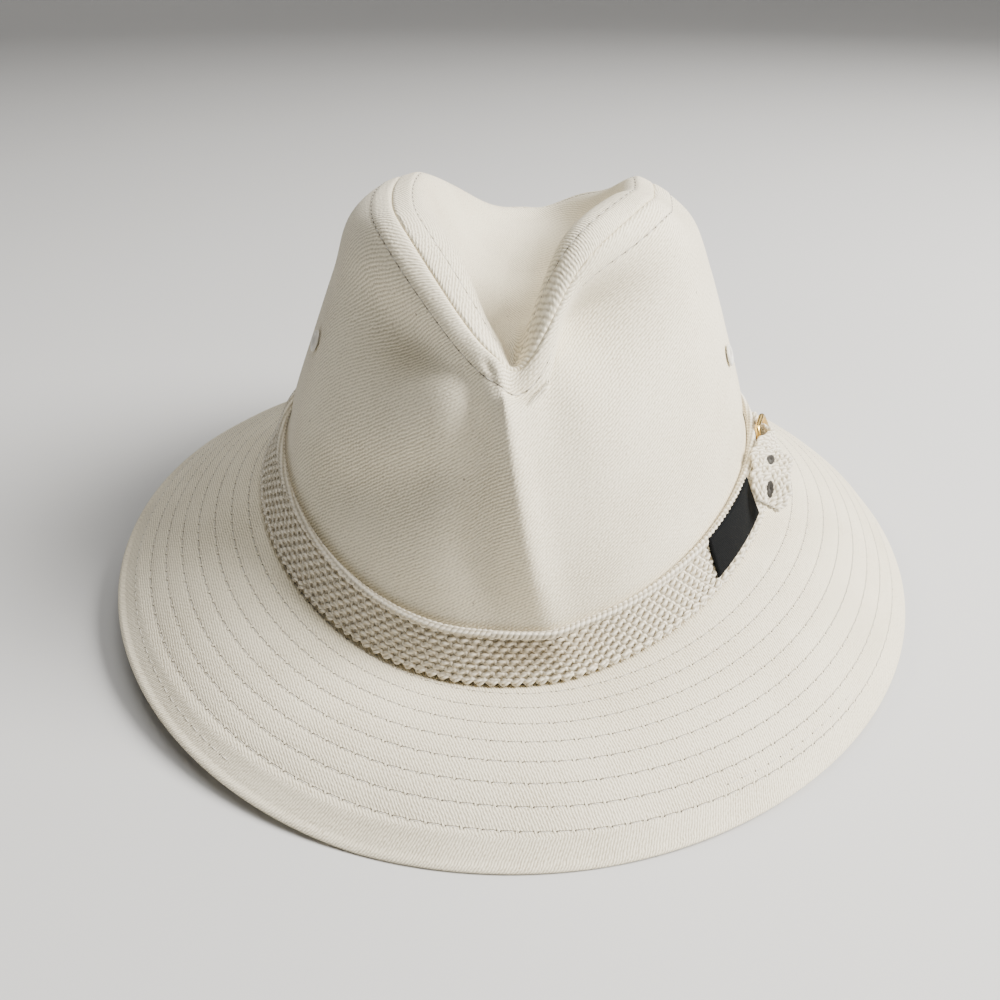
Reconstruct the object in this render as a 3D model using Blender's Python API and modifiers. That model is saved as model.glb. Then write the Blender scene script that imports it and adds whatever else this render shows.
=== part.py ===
"""A cream cotton fedora, built from its separate sewn pieces.

Run with: blender --background --python part.py
Lengths are in metres and +Z is up. The hat faces -Y and rests on the plane z = 0.
A place around the oval is an azimuth in degrees: 0 is the front and 90 is +X.
"""
import math
from typing import NamedTuple

import bmesh
import bpy
import numpy as np
from mathutils import Matrix, Vector

MM = 0.001

# Driving sizes of the crown
HEAD_HALF_WIDTH = 88.2 * MM
HEAD_HALF_LENGTH = 105.4 * MM
CROWN_HEIGHT = 100.0 * MM
CROWN_CLOTH = 1.6 * MM
CROWN_LEAN = 2.9 * MM
SEAM_HEIGHT = 15.8 * MM
SIDE_RISE = 21.4 * MM
FRONT_PINCH = 32.5 * MM
BACK_SLOPE = 33.0 * MM
FOLD_DEPTH = 7.0 * MM

# Driving sizes of the brim
BRIM_REACH = 53.0 * MM
BRIM_SIDE_REACH = 51.4 * MM
BRIM_CLOTH = 2.4 * MM
BRIM_LIFT_RIGHT = 4.0 * MM
BRIM_LIFT_LEFT = 12.4 * MM
BRIM_REST = 2.4 * MM

# Driving sizes of the band and of what is sewn on it
BAND_HEIGHT = 16.4 * MM
BAND_CLOTH = 2.2 * MM
BAND_LIFT = 1.0 * MM
LABEL_LENGTH = 31.0 * MM
LABEL_MARGIN = 3.4 * MM
LABEL_HEIGHT = BAND_HEIGHT - LABEL_MARGIN
LABEL_CLOTH = 0.9 * MM
STRAP_MARGIN = 3.4 * MM
STRAP_WIDTH = BAND_HEIGHT - STRAP_MARGIN
STRAP_CLOTH = 2.0 * MM
STRAP_RISE = 5.0 * MM
STRAP_SLACK = 2.0 * MM
STRAP_HOLE_LENGTH = 5.6 * MM
STRAP_HOLE_WIDTH = 2.6 * MM
BUCKLE_WIRE = 1.9 * MM
BUCKLE_LENGTH = 9.5 * MM

# Driving sizes of the ventilation eyelets
EYELET_FLANGE = 7.0 * MM
EYELET_BORE = 3.2 * MM
EYELET_WALL = 0.5 * MM
EYELET_STAND = 0.55 * MM
EYELET_SIDES = 16

# Clearance between pieces that touch on the real hat, and along the slanted tip seam
GAP = 0.3 * MM
TIP_GAP = 0.45 * MM

# Distance under which a turned profile's doubled points are merged
MERGE_DISTANCE = 0.01 * MM

# Columns around the oval, which every ring shares so that neighbours stay parallel
COLUMNS = 80


class Section(NamedTuple):
    """A ring of the crown; its lengths are shares of the driving sizes.

    half_width, front and back are shares of the head's half width and half length, and
    fullness shapes the oval's front (2 is round). height is a share of the crown's height.
    saddle, pinch and dip say how much of the hem's side rise, of the front pinch and of
    the fall to the back the ring follows, and turn is how far the pinch's middle is
    turned from the front, in degrees.
    """
    half_width: float
    front: float
    back: float
    fullness: float
    height: float
    saddle: float
    pinch: float
    dip: float
    turn: float


HEM, BAND_TOP, SEAM, CREASE = 0, 1, 6, 9

SECTIONS = (
    Section(1.000, 1.000, 1.000, 2.00, 0.000, 1.00, 0.00, 0.00, 0.0),
    Section(0.901, 0.977, 0.977, 2.00, 0.174, 1.00, 0.00, 0.00, 0.0),
    Section(0.862, 0.962, 0.955, 1.92, 0.300, 0.72, 0.00, 0.05, 0.0),
    Section(0.788, 0.936, 0.922, 1.82, 0.480, 0.45, 0.00, 0.15, 0.0),
    Section(0.697, 0.900, 0.885, 1.75, 0.690, 0.20, 0.20, 0.40, 0.0),
    Section(0.605, 0.862, 0.842, 1.75, 0.855, 0.00, 0.71, 0.79, 4.0),
    Section(0.455, 0.816, 0.797, 1.80, 0.952, 0.00, 0.87, 0.87, 4.0),
    Section(0.350, 0.754, 0.740, 1.55, 0.955, 0.00, 0.92, 0.81, 4.0),
    Section(0.225, 0.650, 0.626, 1.75, 0.760, 0.00, 0.25, 0.27, 4.0),
    Section(0.050, 0.500, 0.480, 2.00, 0.660, 0.00, -0.03, -0.03, 0.0),
)


class Fold(NamedTuple):
    """A soft dent in the crown, or a ridge where its depth is negative.

    azimuth and spread are in degrees, level and level_spread in steps of the section table.
    drift turns the dent by so many degrees a level, and depth is a share of FOLD_DEPTH.
    """
    azimuth: float
    drift: float
    spread: float
    level: float
    level_spread: float
    depth: float


FOLDS = (
    Fold(-36.0, 0.0, 19.0, 4.45, 0.75, 1.25),
    Fold(35.0, 0.0, 17.0, 4.40, 0.80, 0.75),
    Fold(-34.0, 6.0, 15.0, 2.20, 0.80, 0.35),
    Fold(4.0, -1.4, 8.0, 2.90, 1.40, -0.30),
    Fold(38.0, 0.0, 16.0, 6.40, 1.10, -0.55),
    Fold(-38.0, 0.0, 16.0, 7.00, 0.70, -0.30),
    Fold(-70.0, 0.0, 30.0, 5.30, 0.80, -0.45),
    Fold(20.0, 0.0, 12.0, 5.90, 1.10, 0.25),
    Fold(28.0, 0.0, 16.0, 4.90, 0.80, 1.65),
    Fold(58.0, 0.0, 14.0, 5.90, 1.10, -0.77),
    Fold(-45.0, 0.0, 16.0, 5.70, 0.90, -0.93),
    Fold(178.0, 0.0, 9.0, 5.80, 0.80, 0.58),
    Fold(150.0, 0.0, 18.0, 5.80, 1.00, -0.57),
    Fold(-150.0, 0.0, 18.0, 5.80, 1.00, 1.13),
)

# How sharply the front pinch ends on each side, and how the crown falls away to the back
PINCH_ROUNDING = 0.15
PINCH_POWER_LEFT = 1.25
PINCH_POWER_RIGHT = 4.2
BACK_POWER = 1.3

# Levels of the crown's rows, in steps of the section table
SIDE_LEVELS = (HEM, 0.5, BAND_TOP, 1.6, 2.3, 3.0, 3.6, 4.2, 4.7, 5.2, 5.6, SEAM)
TIP_LEVELS = (SEAM, 6.5, 7.0, 7.5, 8.2, CREASE)

# Step used for the crown's normals, in radians around it and in levels up it
NORMAL_STEP = 0.01

# The brim's slopes where it leaves the crown and at its turned-down edge, in degrees
BRIM_INNER_SLOPE_FRONT = -8.0
BRIM_INNER_SLOPE_SIDE = 18.0
BRIM_OUTER_SLOPE = 46.0
BRIM_OUTER_TWIST = 10.0
BRIM_STEPS = 9

# How far each slope carries along the brim, as a share of its reach
BRIM_INNER_PULL = 0.38
BRIM_OUTER_PULL = 0.34

# The edge lies flat where the sine of the azimuth is under this share, and lifts beyond it
BRIM_REST_SHARE = 0.2
BRIM_LIFT_POWER = 1.2

# Rounding of the brim's folded edge, as a share of its cloth
BRIM_EDGE_ROUNDING = 0.25

# Rows of points across the band, as shares of its height
BAND_ROWS = (0.0, 0.45, 1.0)

# The label starts at this azimuth, with its middle at this share of the band's height
LABEL_START = 48.0
LABEL_MIDDLE = 0.60
LABEL_COLUMNS = 8

# Azimuths along the strap, from its loose tip to the end on the band behind the buckle
STRAP_TIP = 63.0
STRAP_HOLES = (65.8, 72.5)
STRAP_END = 91.0
STRAP_COLUMNS = 20
STRAP_ROWS = (-0.5, -0.3, 0.0, 0.3, 0.5)

# The strap's loose end turns by this angle, within this many degrees past the buckle
STRAP_TWIST = 50.0
STRAP_TWIST_TURN = 7.0

# Spread in degrees of the strap's arch over the buckle's bar
STRAP_ARCH_TURN = 3.4

# Width of the strap at its tip as a squared share, and the columns that round it off
STRAP_TIP_SHARE = 0.35
STRAP_TIP_COLUMNS = 3.0

# The buckle's place in degrees, and how square its loop is
BUCKLE_CENTRE = 84.5
BUCKLE_POINTS = 24
BUCKLE_ROUNDING = 0.4

# Azimuth and crown level of each eyelet
EYELETS = {"eyelet_left": (-68.0, 3.3), "eyelet_right": (76.0, 3.0)}

# Rolled rim of an eyelet, as shares of its wall
EYELET_RIM_INNER, EYELET_RIM_TOP, EYELET_RIM_OUTER = 0.6, 1.4, 0.8

CREAM = (0.80, 0.76, 0.67)
KNIT = (0.83, 0.79, 0.71)
BLACK = (0.012, 0.012, 0.014)
BRASS = (0.72, 0.52, 0.20)
ENAMEL = (0.78, 0.76, 0.70)


def blend(start, end, share):
    """Return the value at a share of the way from start to end."""
    return start + (end - start) * share


def top_drop(section, azimuth):
    """Return how far the crown is lowered here by its front pinch or its fall to the back."""
    if math.cos(azimuth) < 0.0:
        return section.dip * BACK_SLOPE * (-math.cos(azimuth)) ** BACK_POWER
    sine = math.sin(azimuth - math.radians(section.turn))
    away = math.sqrt(sine ** 2 + PINCH_ROUNDING ** 2)
    share = max(0.0, 1.0 - away) / (1.0 - PINCH_ROUNDING)
    power = PINCH_POWER_RIGHT if sine > 0.0 else PINCH_POWER_LEFT
    return section.pinch * FRONT_PINCH * share ** power


def hem_height(azimuth):
    """Return the height of the seam between crown and brim."""
    return SEAM_HEIGHT + SIDE_RISE * math.sin(azimuth) ** 2


def section_point(section, azimuth):
    """Return the point of one section ring at an azimuth in radians."""
    sine, cosine = math.sin(azimuth), math.cos(azimuth)
    power = 1.0 + (2.0 / section.fullness - 1.0) * max(0.0, cosine) ** 0.5
    reach = section.front if cosine > 0.0 else section.back
    x = section.half_width * HEAD_HALF_WIDTH * math.copysign(abs(sine) ** power, sine)
    y = -reach * HEAD_HALF_LENGTH * math.copysign(abs(cosine) ** power, cosine)
    side_height = SEAM_HEIGHT + SIDE_RISE + section.height * CROWN_HEIGHT
    drop = section.saddle * (SEAM_HEIGHT + SIDE_RISE - hem_height(azimuth))
    lean = section.height * CROWN_LEAN
    return np.array((x + lean, y, side_height - drop - top_drop(section, azimuth)))


def smooth_point(azimuth, level):
    """Return the crown's surface between the sections, without its folds."""
    points = [section_point(section, azimuth) for section in SECTIONS]
    index = min(int(level), len(points) - 2)
    share = level - index
    before = points[max(index - 1, 0)]
    start, end = points[index], points[index + 1]
    after = points[min(index + 2, len(points) - 1)]
    start_slope = (end - before) / (2.0 if index > 0 else 1.0)
    end_slope = (after - start) / (2.0 if index + 2 < len(points) else 1.0)
    square, cube = share ** 2, share ** 3
    return (start * (2 * cube - 3 * square + 1) + start_slope * (cube - 2 * square + share)
            + end * (3 * square - 2 * cube) + end_slope * (cube - square))


def normal_of(surface, azimuth, level):
    """Return the outward normal of a surface of azimuth and level."""
    level = min(max(level, HEM + NORMAL_STEP), CREASE - NORMAL_STEP)
    around = surface(azimuth + NORMAL_STEP, level) - surface(azimuth - NORMAL_STEP, level)
    upward = surface(azimuth, level + NORMAL_STEP) - surface(azimuth, level - NORMAL_STEP)
    normal = np.cross(around, upward)
    return normal / np.linalg.norm(normal)


def fold_depth(azimuth, level):
    """Return how far the cloth is pushed in at this place."""
    depth = 0.0
    for fold in FOLDS:
        turn = math.degrees(azimuth) - fold.azimuth - fold.drift * (level - fold.level)
        turn = (turn + 180.0) % 360.0 - 180.0
        spread = (turn / fold.spread) ** 2 + ((level - fold.level) / fold.level_spread) ** 2
        depth += fold.depth * FOLD_DEPTH * math.exp(-spread)
    return depth


def crown_point(azimuth, level):
    """Return the crown's outer surface, folds included."""
    push = fold_depth(azimuth, level)
    return smooth_point(azimuth, level) - push * normal_of(smooth_point, azimuth, level)


def crown_offset(azimuth, level, offset):
    """Return a point that lies outside the crown's surface by an offset, or inside if negative."""
    return crown_point(azimuth, level) + offset * normal_of(crown_point, azimuth, level)


def azimuths():
    """Return the azimuth of each column around the oval."""
    return [2.0 * math.pi * column / COLUMNS for column in range(COLUMNS)]


def crown_ring(level, offset):
    """Return a closed ring of points at one level of the crown."""
    return [crown_offset(azimuth, level, offset) for azimuth in azimuths()]


def shifted(ring, rise):
    """Return a ring moved up by a rise."""
    return [point + np.array((0.0, 0.0, rise)) for point in ring]


def moved_towards(ring, target, distance):
    """Return a ring moved by a distance towards another one."""
    steps = [goal - point for point, goal in zip(ring, target)]
    return [point + step * distance / np.linalg.norm(step) for point, step in zip(ring, steps)]


def fabric(name, colour, roughness, metallic=0.0):
    """Return a Principled material."""
    material = bpy.data.materials.new(name)
    material.use_nodes = True
    shader = material.node_tree.nodes["Principled BSDF"]
    shader.inputs["Base Color"].default_value = (*colour, 1.0)
    shader.inputs["Roughness"].default_value = roughness
    shader.inputs["Metallic"].default_value = metallic
    material.diffuse_color = (*colour, 1.0)
    return material


def add_object(name, mesh, material, collection, smooth=True):
    """Put a mesh in the scene as one named piece."""
    mesh.materials.append(material)
    if smooth:
        mesh.shade_smooth()
    piece = bpy.data.objects.new(name, mesh)
    collection.objects.link(piece)
    return piece


def loft_mesh(name, rings, closed_round, end_caps=False):
    """Return a mesh lofted through rings; an end cap joins a ring's two mirrored halves."""
    shape = bmesh.new()
    loops = [[shape.verts.new(point) for point in ring] for ring in rings]
    count = len(loops[0])
    pairs = list(zip(loops, loops[1:]))
    if closed_round:
        pairs.append((loops[-1], loops[0]))
    for lower, upper in pairs:
        for place in range(count):
            after = (place + 1) % count
            shape.faces.new((lower[place], lower[after], upper[after], upper[place]))
    if end_caps:
        for loop in (loops[0], loops[-1]):
            for place in range(count // 2):
                corners = (loop[place], loop[place + 1], loop[(-place - 1) % count], loop[-place % count])
                shape.faces.new(tuple(dict.fromkeys(corners)))
    bmesh.ops.recalc_face_normals(shape, faces=shape.faces)
    mesh = bpy.data.meshes.new(name)
    shape.to_mesh(mesh)
    shape.free()
    return mesh


def patch_mesh(name, rows):
    """Return an open sheet through rows of points, for Solidify to thicken."""
    shape = bmesh.new()
    lines = [[shape.verts.new(point) for point in row] for row in rows]
    for lower, upper in zip(lines, lines[1:]):
        for place in range(len(lower) - 1):
            shape.faces.new((lower[place], lower[place + 1], upper[place + 1], upper[place]))
    mesh = bpy.data.meshes.new(name)
    shape.to_mesh(mesh)
    shape.free()
    return mesh


def thicken(piece, thickness):
    """Thicken a sheet along its face normals."""
    solidify = piece.modifiers.new("thickness", "SOLIDIFY")
    solidify.thickness = thickness
    solidify.offset = 1.0
    solidify.use_even_offset = True


def build_crown_side(material, collection):
    """Build the crown's side wall, from the brim's underside up to the tip seam."""
    outer = [crown_ring(level, 0.0) for level in SIDE_LEVELS]
    inner = [crown_ring(level, -CROWN_CLOTH) for level in SIDE_LEVELS]
    outer.insert(0, shifted(outer[0], -BRIM_CLOTH))
    inner.insert(0, shifted(inner[0], -BRIM_CLOTH))
    mesh = loft_mesh("crown_side", outer + inner[::-1], closed_round=True)
    return add_object("crown_side", mesh, material, collection)


def build_crown_tip(material, collection):
    """Build the dented top panel that the tip seam joins to the side wall."""
    outer = [crown_ring(level, 0.0) for level in TIP_LEVELS]
    inner = [crown_ring(level, -CROWN_CLOTH) for level in TIP_LEVELS]
    outer[0] = moved_towards(outer[0], outer[1], TIP_GAP)
    inner[0] = moved_towards(inner[0], inner[1], TIP_GAP)
    mesh = loft_mesh("crown_tip", outer[::-1] + inner, closed_round=False, end_caps=True)
    return add_object("crown_tip", mesh, material, collection)


def edge_height(azimuth):
    """Return the height of the brim's edge, which lies flat at the front and the back."""
    sine = math.sin(azimuth)
    rise = max(0.0, abs(sine) - BRIM_REST_SHARE) / (1.0 - BRIM_REST_SHARE)
    lift = BRIM_LIFT_RIGHT if sine > 0.0 else BRIM_LIFT_LEFT
    return lift * rise ** BRIM_LIFT_POWER


def outward(azimuth):
    """Return the level direction that points straight out of the head oval."""
    direction = np.array((HEAD_HALF_LENGTH * math.sin(azimuth), -HEAD_HALF_WIDTH * math.cos(azimuth), 0.0))
    return direction / np.linalg.norm(direction)


def brim_profile(azimuth):
    """Return the brim's top curve at an azimuth as (reach, height, slope), from crown to edge."""
    side = math.sin(azimuth) ** 2
    reach = blend(BRIM_REACH, BRIM_SIDE_REACH, side)
    inner_slope = math.radians(blend(BRIM_INNER_SLOPE_FRONT, BRIM_INNER_SLOPE_SIDE, side))
    outer_slope = math.radians(BRIM_OUTER_SLOPE + BRIM_OUTER_TWIST * math.sin(azimuth))
    start = np.array((GAP, hem_height(azimuth)))
    end = np.array((reach, edge_height(azimuth)))
    leave = np.array((math.cos(inner_slope), -math.sin(inner_slope)))
    arrive = np.array((math.cos(outer_slope), -math.sin(outer_slope)))
    start_pull = start + BRIM_INNER_PULL * reach * leave
    end_pull = end - BRIM_OUTER_PULL * reach * arrive
    profile = []
    for step in range(BRIM_STEPS + 1):
        share = step / BRIM_STEPS
        rest = 1.0 - share
        place = (rest ** 3 * start + 3 * rest ** 2 * share * start_pull
                 + 3 * rest * share ** 2 * end_pull + share ** 3 * end)
        slope = (rest ** 2 * (start_pull - start) + 2 * rest * share * (end_pull - start_pull)
                 + share ** 2 * (end - end_pull))
        profile.append((place[0], place[1], math.atan2(-slope[1], slope[0])))
    return profile


def brim_section(azimuth):
    """Return the brim's closed cross-section at an azimuth as (reach, height) pairs."""
    profile = brim_profile(azimuth)
    top = [(reach, height) for reach, height, slope in profile[:-1]]
    under = [(reach - BRIM_CLOTH * math.sin(slope), height - BRIM_CLOTH * math.cos(slope))
             for reach, height, slope in profile[1:-1]]
    edge_reach, edge, edge_slope = profile[-1]
    fold = BRIM_EDGE_ROUNDING * BRIM_CLOTH
    edge_ring = [(edge_reach - 2.0 * fold, edge + 3.0 * fold), (edge_reach, edge + fold),
                 (edge_reach - fold, edge), (edge_reach - fold - BRIM_REST, edge)]
    hem = [(GAP, hem_height(azimuth) - BRIM_CLOTH)]
    return top + edge_ring + under[-2::-1] + hem


def build_brim(material, collection):
    """Build the two-ply stitched brim around the crown's hem."""
    sections = []
    for azimuth in azimuths():
        foot = section_point(SECTIONS[HEM], azimuth)
        out = outward(azimuth)
        sections.append([np.array((foot[0], foot[1], 0.0)) + out * reach + np.array((0.0, 0.0, height))
                         for reach, height in brim_section(azimuth)])
    rings = [list(ring) for ring in zip(*sections)]
    mesh = loft_mesh("brim", rings, closed_round=True)
    return add_object("brim", mesh, material, collection)


def band_level(height):
    """Return the crown level at a height above the hem, inside the band's stretch."""
    return height / (SECTIONS[BAND_TOP].height * CROWN_HEIGHT)


def build_band(material, collection):
    """Build the knitted band around the foot of the crown."""
    heights = [BAND_LIFT + BAND_HEIGHT * share for share in BAND_ROWS]
    inner = [crown_ring(band_level(height), GAP) for height in heights]
    outer = [crown_ring(band_level(height), GAP + BAND_CLOTH) for height in heights]
    mesh = loft_mesh("hat_band", outer + inner[::-1], closed_round=True)
    return add_object("hat_band", mesh, material, collection)


def band_point(degrees, share, offset):
    """Return a point on the band's face: its azimuth, its share of the band's height, its offset."""
    height = BAND_LIFT + BAND_HEIGHT * share
    return crown_offset(math.radians(degrees), band_level(height), GAP + BAND_CLOTH + offset)


def degrees_for(length):
    """Return the turn around the band's side that covers a length."""
    radius = math.hypot(HEAD_HALF_WIDTH, HEAD_HALF_LENGTH) / math.sqrt(2.0)
    return math.degrees(length / radius)


def build_label(material, collection):
    """Build the bare black label that is sewn on the band."""
    half = 0.5 * LABEL_HEIGHT / BAND_HEIGHT
    turn = degrees_for(LABEL_LENGTH)
    rows = [[band_point(LABEL_START + turn * column / LABEL_COLUMNS, share, GAP)
             for column in range(LABEL_COLUMNS + 1)]
            for share in (LABEL_MIDDLE - half, BAND_ROWS[1], LABEL_MIDDLE + half)]
    piece = add_object("band_label", patch_mesh("band_label", rows), material, collection, smooth=False)
    thicken(piece, LABEL_CLOTH)
    return piece


def strap_point(degrees, side):
    """Return a point on the strap's inner face, from its lower edge, side -0.5, to its upper, 0.5.

    The strap rides over the buckle's front bar. Its loose end rises over the band's upper edge
    and twists away from it, and its tip lies over the label's end.
    """
    bar = BUCKLE_CENTRE - 0.5 * degrees_for(BUCKLE_LENGTH)
    arch = math.exp(-((degrees - bar) / STRAP_ARCH_TURN) ** 2)
    over_bar = (BUCKLE_WIRE + 2.0 * GAP + STRAP_SLACK) * arch
    twisted = min(1.0, max(0.0, (bar - degrees) / STRAP_TWIST_TURN))
    easing = twisted * twisted * (3.0 - 2.0 * twisted)
    twist = math.radians(STRAP_TWIST) * easing
    loose = min(1.0, max(0.0, (bar - degrees) / (bar - STRAP_TIP)))
    middle = 0.5 * BAND_HEIGHT + STRAP_RISE * math.sin(math.pi * loose)
    below_top = min(0.5 * STRAP_WIDTH, (BAND_HEIGHT - middle) / math.cos(twist))
    stand = max(over_bar, (LABEL_CLOTH + GAP) * easing) + below_top * math.sin(twist)
    across = side * STRAP_WIDTH
    share = (middle + across * math.cos(twist)) / BAND_HEIGHT
    return band_point(degrees, share, GAP + stand - across * math.sin(twist))


def build_strap(material, collection, cutters):
    """Build the strap's loose end, with its round tip and its holes."""
    rows = []
    for side in STRAP_ROWS:
        row = []
        for column in range(STRAP_COLUMNS + 1):
            from_tip = min(1.0, column / STRAP_TIP_COLUMNS)
            width = math.sqrt(blend(STRAP_TIP_SHARE, 1.0, from_tip))
            degrees = blend(STRAP_TIP, STRAP_END, column / STRAP_COLUMNS)
            row.append(strap_point(degrees, side * width))
        rows.append(row)
    piece = add_object("band_strap", patch_mesh("band_strap", rows), material, collection, smooth=False)
    thicken(piece, STRAP_CLOTH)
    for number, degrees in enumerate(STRAP_HOLES):
        along = Vector(strap_point(degrees + 1.0, 0.0) - strap_point(degrees - 1.0, 0.0)).normalized()
        across = Vector(strap_point(degrees, 0.5) - strap_point(degrees, -0.5))
        normal = along.cross(across).normalized()
        centre = Vector(strap_point(degrees, 0.0)) + 0.5 * STRAP_CLOTH * normal
        cutter = add_cutter("strap_hole_cutter_%d" % number, STRAP_HOLE_WIDTH, 4.0 * STRAP_CLOTH, 12, cutters)
        turn = Matrix((along, normal.cross(along), normal)).transposed().to_4x4()
        stretch = Matrix.Diagonal((STRAP_HOLE_LENGTH / STRAP_HOLE_WIDTH, 1.0, 1.0, 1.0))
        cutter.matrix_world = Matrix.Translation(centre) @ turn @ stretch
        cut(piece, cutter)
    return piece


def add_cutter(name, diameter, depth, sides, cutters):
    """Add a hidden cylinder for a Boolean cut."""
    shape = bmesh.new()
    bmesh.ops.create_cone(shape, cap_ends=True, segments=sides, radius1=diameter / 2.0,
                          radius2=diameter / 2.0, depth=depth)
    mesh = bpy.data.meshes.new(name)
    shape.to_mesh(mesh)
    shape.free()
    cutter = bpy.data.objects.new(name, mesh)
    cutter.hide_render = True
    cutter.display_type = "WIRE"
    cutters.objects.link(cutter)
    return cutter


def cut(piece, cutter):
    """Cut one piece with a cutter."""
    boolean = piece.modifiers.new("cut", "BOOLEAN")
    boolean.operation = "DIFFERENCE"
    boolean.object = cutter


def build_buckle(material, collection):
    """Build the brass buckle: a wire frame that the strap is threaded through."""
    half_turn = 0.5 * degrees_for(BUCKLE_LENGTH)
    half_share = 0.5 * (STRAP_WIDTH + 2.0 * GAP + 2.0 * BUCKLE_WIRE) / BAND_HEIGHT
    under = GAP + 0.5 * BUCKLE_WIRE
    over = GAP + STRAP_CLOTH + 2.0 * GAP + 0.5 * BUCKLE_WIRE
    outline = []
    for step in range(BUCKLE_POINTS):
        angle = 2.0 * math.pi * step / BUCKLE_POINTS
        turn = math.copysign(abs(math.cos(angle)) ** BUCKLE_ROUNDING, math.cos(angle))
        rise = math.copysign(abs(math.sin(angle)) ** BUCKLE_ROUNDING, math.sin(angle))
        offset = blend(under, over, 0.5 * (1.0 + turn))
        outline.append(band_point(BUCKLE_CENTRE + turn * half_turn, 0.5 + rise * half_share, offset))
    curve = bpy.data.curves.new("band_buckle", "CURVE")
    curve.dimensions = "3D"
    curve.bevel_depth = BUCKLE_WIRE / 2.0
    curve.bevel_resolution = 1
    spline = curve.splines.new("POLY")
    spline.points.add(len(outline) - 1)
    for point, place in zip(spline.points, outline):
        point.co = (*place, 1.0)
    spline.use_cyclic_u = True
    curve.materials.append(material)
    piece = bpy.data.objects.new("band_buckle", curve)
    collection.objects.link(piece)
    return piece


def build_eyelet(name, degrees, level, crown_side, material, collection, cutters):
    """Build one ventilation eyelet and the hole that it lines."""
    azimuth = math.radians(degrees)
    centre = Vector(crown_point(azimuth, level))
    direction = Vector(normal_of(crown_point, azimuth, level)).to_track_quat("Z", "Y").to_euler()
    barrel = EYELET_BORE / 2.0 + EYELET_WALL
    flange = EYELET_FLANGE / 2.0
    bore = EYELET_BORE / 2.0
    inner = EYELET_RIM_INNER * EYELET_WALL
    profile = [(bore, -CROWN_CLOTH), (bore, EYELET_STAND + inner),
               (barrel + inner, EYELET_STAND + EYELET_RIM_TOP * EYELET_WALL),
               (flange - EYELET_RIM_OUTER * EYELET_WALL, EYELET_STAND + EYELET_WALL),
               (flange, EYELET_STAND), (barrel, EYELET_STAND), (barrel, -CROWN_CLOTH)]
    shape = bmesh.new()
    corners = [shape.verts.new((radius, 0.0, height)) for radius, height in profile]
    for start, end in zip(corners, corners[1:] + corners[:1]):
        shape.edges.new((start, end))
    mesh = bpy.data.meshes.new(name)
    shape.to_mesh(mesh)
    shape.free()
    piece = add_object(name, mesh, material, collection, smooth=False)
    piece.location = centre
    piece.rotation_euler = direction
    screw = piece.modifiers.new("turn", "SCREW")
    screw.steps = EYELET_SIDES
    screw.render_steps = EYELET_SIDES
    screw.use_merge_vertices = True
    screw.merge_threshold = MERGE_DISTANCE
    cutter = add_cutter(name + "_cutter", 2.0 * (barrel + GAP), 6.0 * CROWN_CLOTH, EYELET_SIDES, cutters)
    cutter.location = centre
    cutter.rotation_euler = direction
    cut(crown_side, cutter)
    return piece


def clear_scene():
    """Remove what the opened file holds."""
    for item in list(bpy.data.objects):
        bpy.data.objects.remove(item, do_unlink=True)


def new_collection(name):
    """Return a new collection in the scene."""
    collection = bpy.data.collections.new(name)
    bpy.context.scene.collection.children.link(collection)
    return collection


def main():
    """Build the hat."""
    clear_scene()
    hat = new_collection("fedora")
    cutters = new_collection("cutters")
    twill = fabric("cotton_twill", CREAM, 0.9)
    knit = fabric("cotton_knit", KNIT, 0.95)
    brass = fabric("brass", BRASS, 0.3, 1.0)
    label_cloth = fabric("label_cloth", BLACK, 0.8)
    enamel = fabric("enamelled_metal", ENAMEL, 0.45)
    crown_side = build_crown_side(twill, hat)
    build_crown_tip(twill, hat)
    build_brim(twill, hat)
    build_band(knit, hat)
    build_label(label_cloth, hat)
    build_strap(knit, hat, cutters)
    build_buckle(brass, hat)
    for name, (degrees, level) in EYELETS.items():
        build_eyelet(name, degrees, level, crown_side, enamel, hat, cutters)


main()
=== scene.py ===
"""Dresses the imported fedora: its cloth, stitching, knitted band, label, strap, buckle and eyelets.

Everything is in metres in the hat's own frame: +Z is up and the front faces -Y. A place
round the oval is an azimuth, 0 at the front and growing towards +X, and a height on the
crown is a level, counted in steps of the crown's table of rings.
"""

import logging
import math
from dataclasses import dataclass, field
from enum import Enum
from typing import Callable, Optional, Sequence

import bpy
import numpy as np
from mathutils import Matrix, Vector


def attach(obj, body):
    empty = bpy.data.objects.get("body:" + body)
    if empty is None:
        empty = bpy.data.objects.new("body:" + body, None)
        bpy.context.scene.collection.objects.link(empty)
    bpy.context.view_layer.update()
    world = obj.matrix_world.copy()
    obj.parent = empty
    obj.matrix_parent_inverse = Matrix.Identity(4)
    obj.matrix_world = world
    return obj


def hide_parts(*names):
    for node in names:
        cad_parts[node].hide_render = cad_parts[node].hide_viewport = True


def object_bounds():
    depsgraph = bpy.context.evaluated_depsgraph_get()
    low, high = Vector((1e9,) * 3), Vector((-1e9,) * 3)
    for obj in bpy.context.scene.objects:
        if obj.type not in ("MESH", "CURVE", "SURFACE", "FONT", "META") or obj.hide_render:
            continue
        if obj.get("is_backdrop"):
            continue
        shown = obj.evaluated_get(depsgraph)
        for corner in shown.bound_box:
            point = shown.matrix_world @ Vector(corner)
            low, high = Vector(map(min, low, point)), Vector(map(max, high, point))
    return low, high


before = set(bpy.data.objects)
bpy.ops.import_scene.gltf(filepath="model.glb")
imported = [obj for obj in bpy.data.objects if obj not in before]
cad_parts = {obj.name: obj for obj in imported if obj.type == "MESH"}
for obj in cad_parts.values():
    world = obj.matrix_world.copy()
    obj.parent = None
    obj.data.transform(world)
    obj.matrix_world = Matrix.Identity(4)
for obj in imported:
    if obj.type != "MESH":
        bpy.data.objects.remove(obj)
cad_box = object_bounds()

log = logging.getLogger("fedora")

MM = 0.001
TURN = 2.0 * math.pi
GAP = 0.3 * MM

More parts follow.
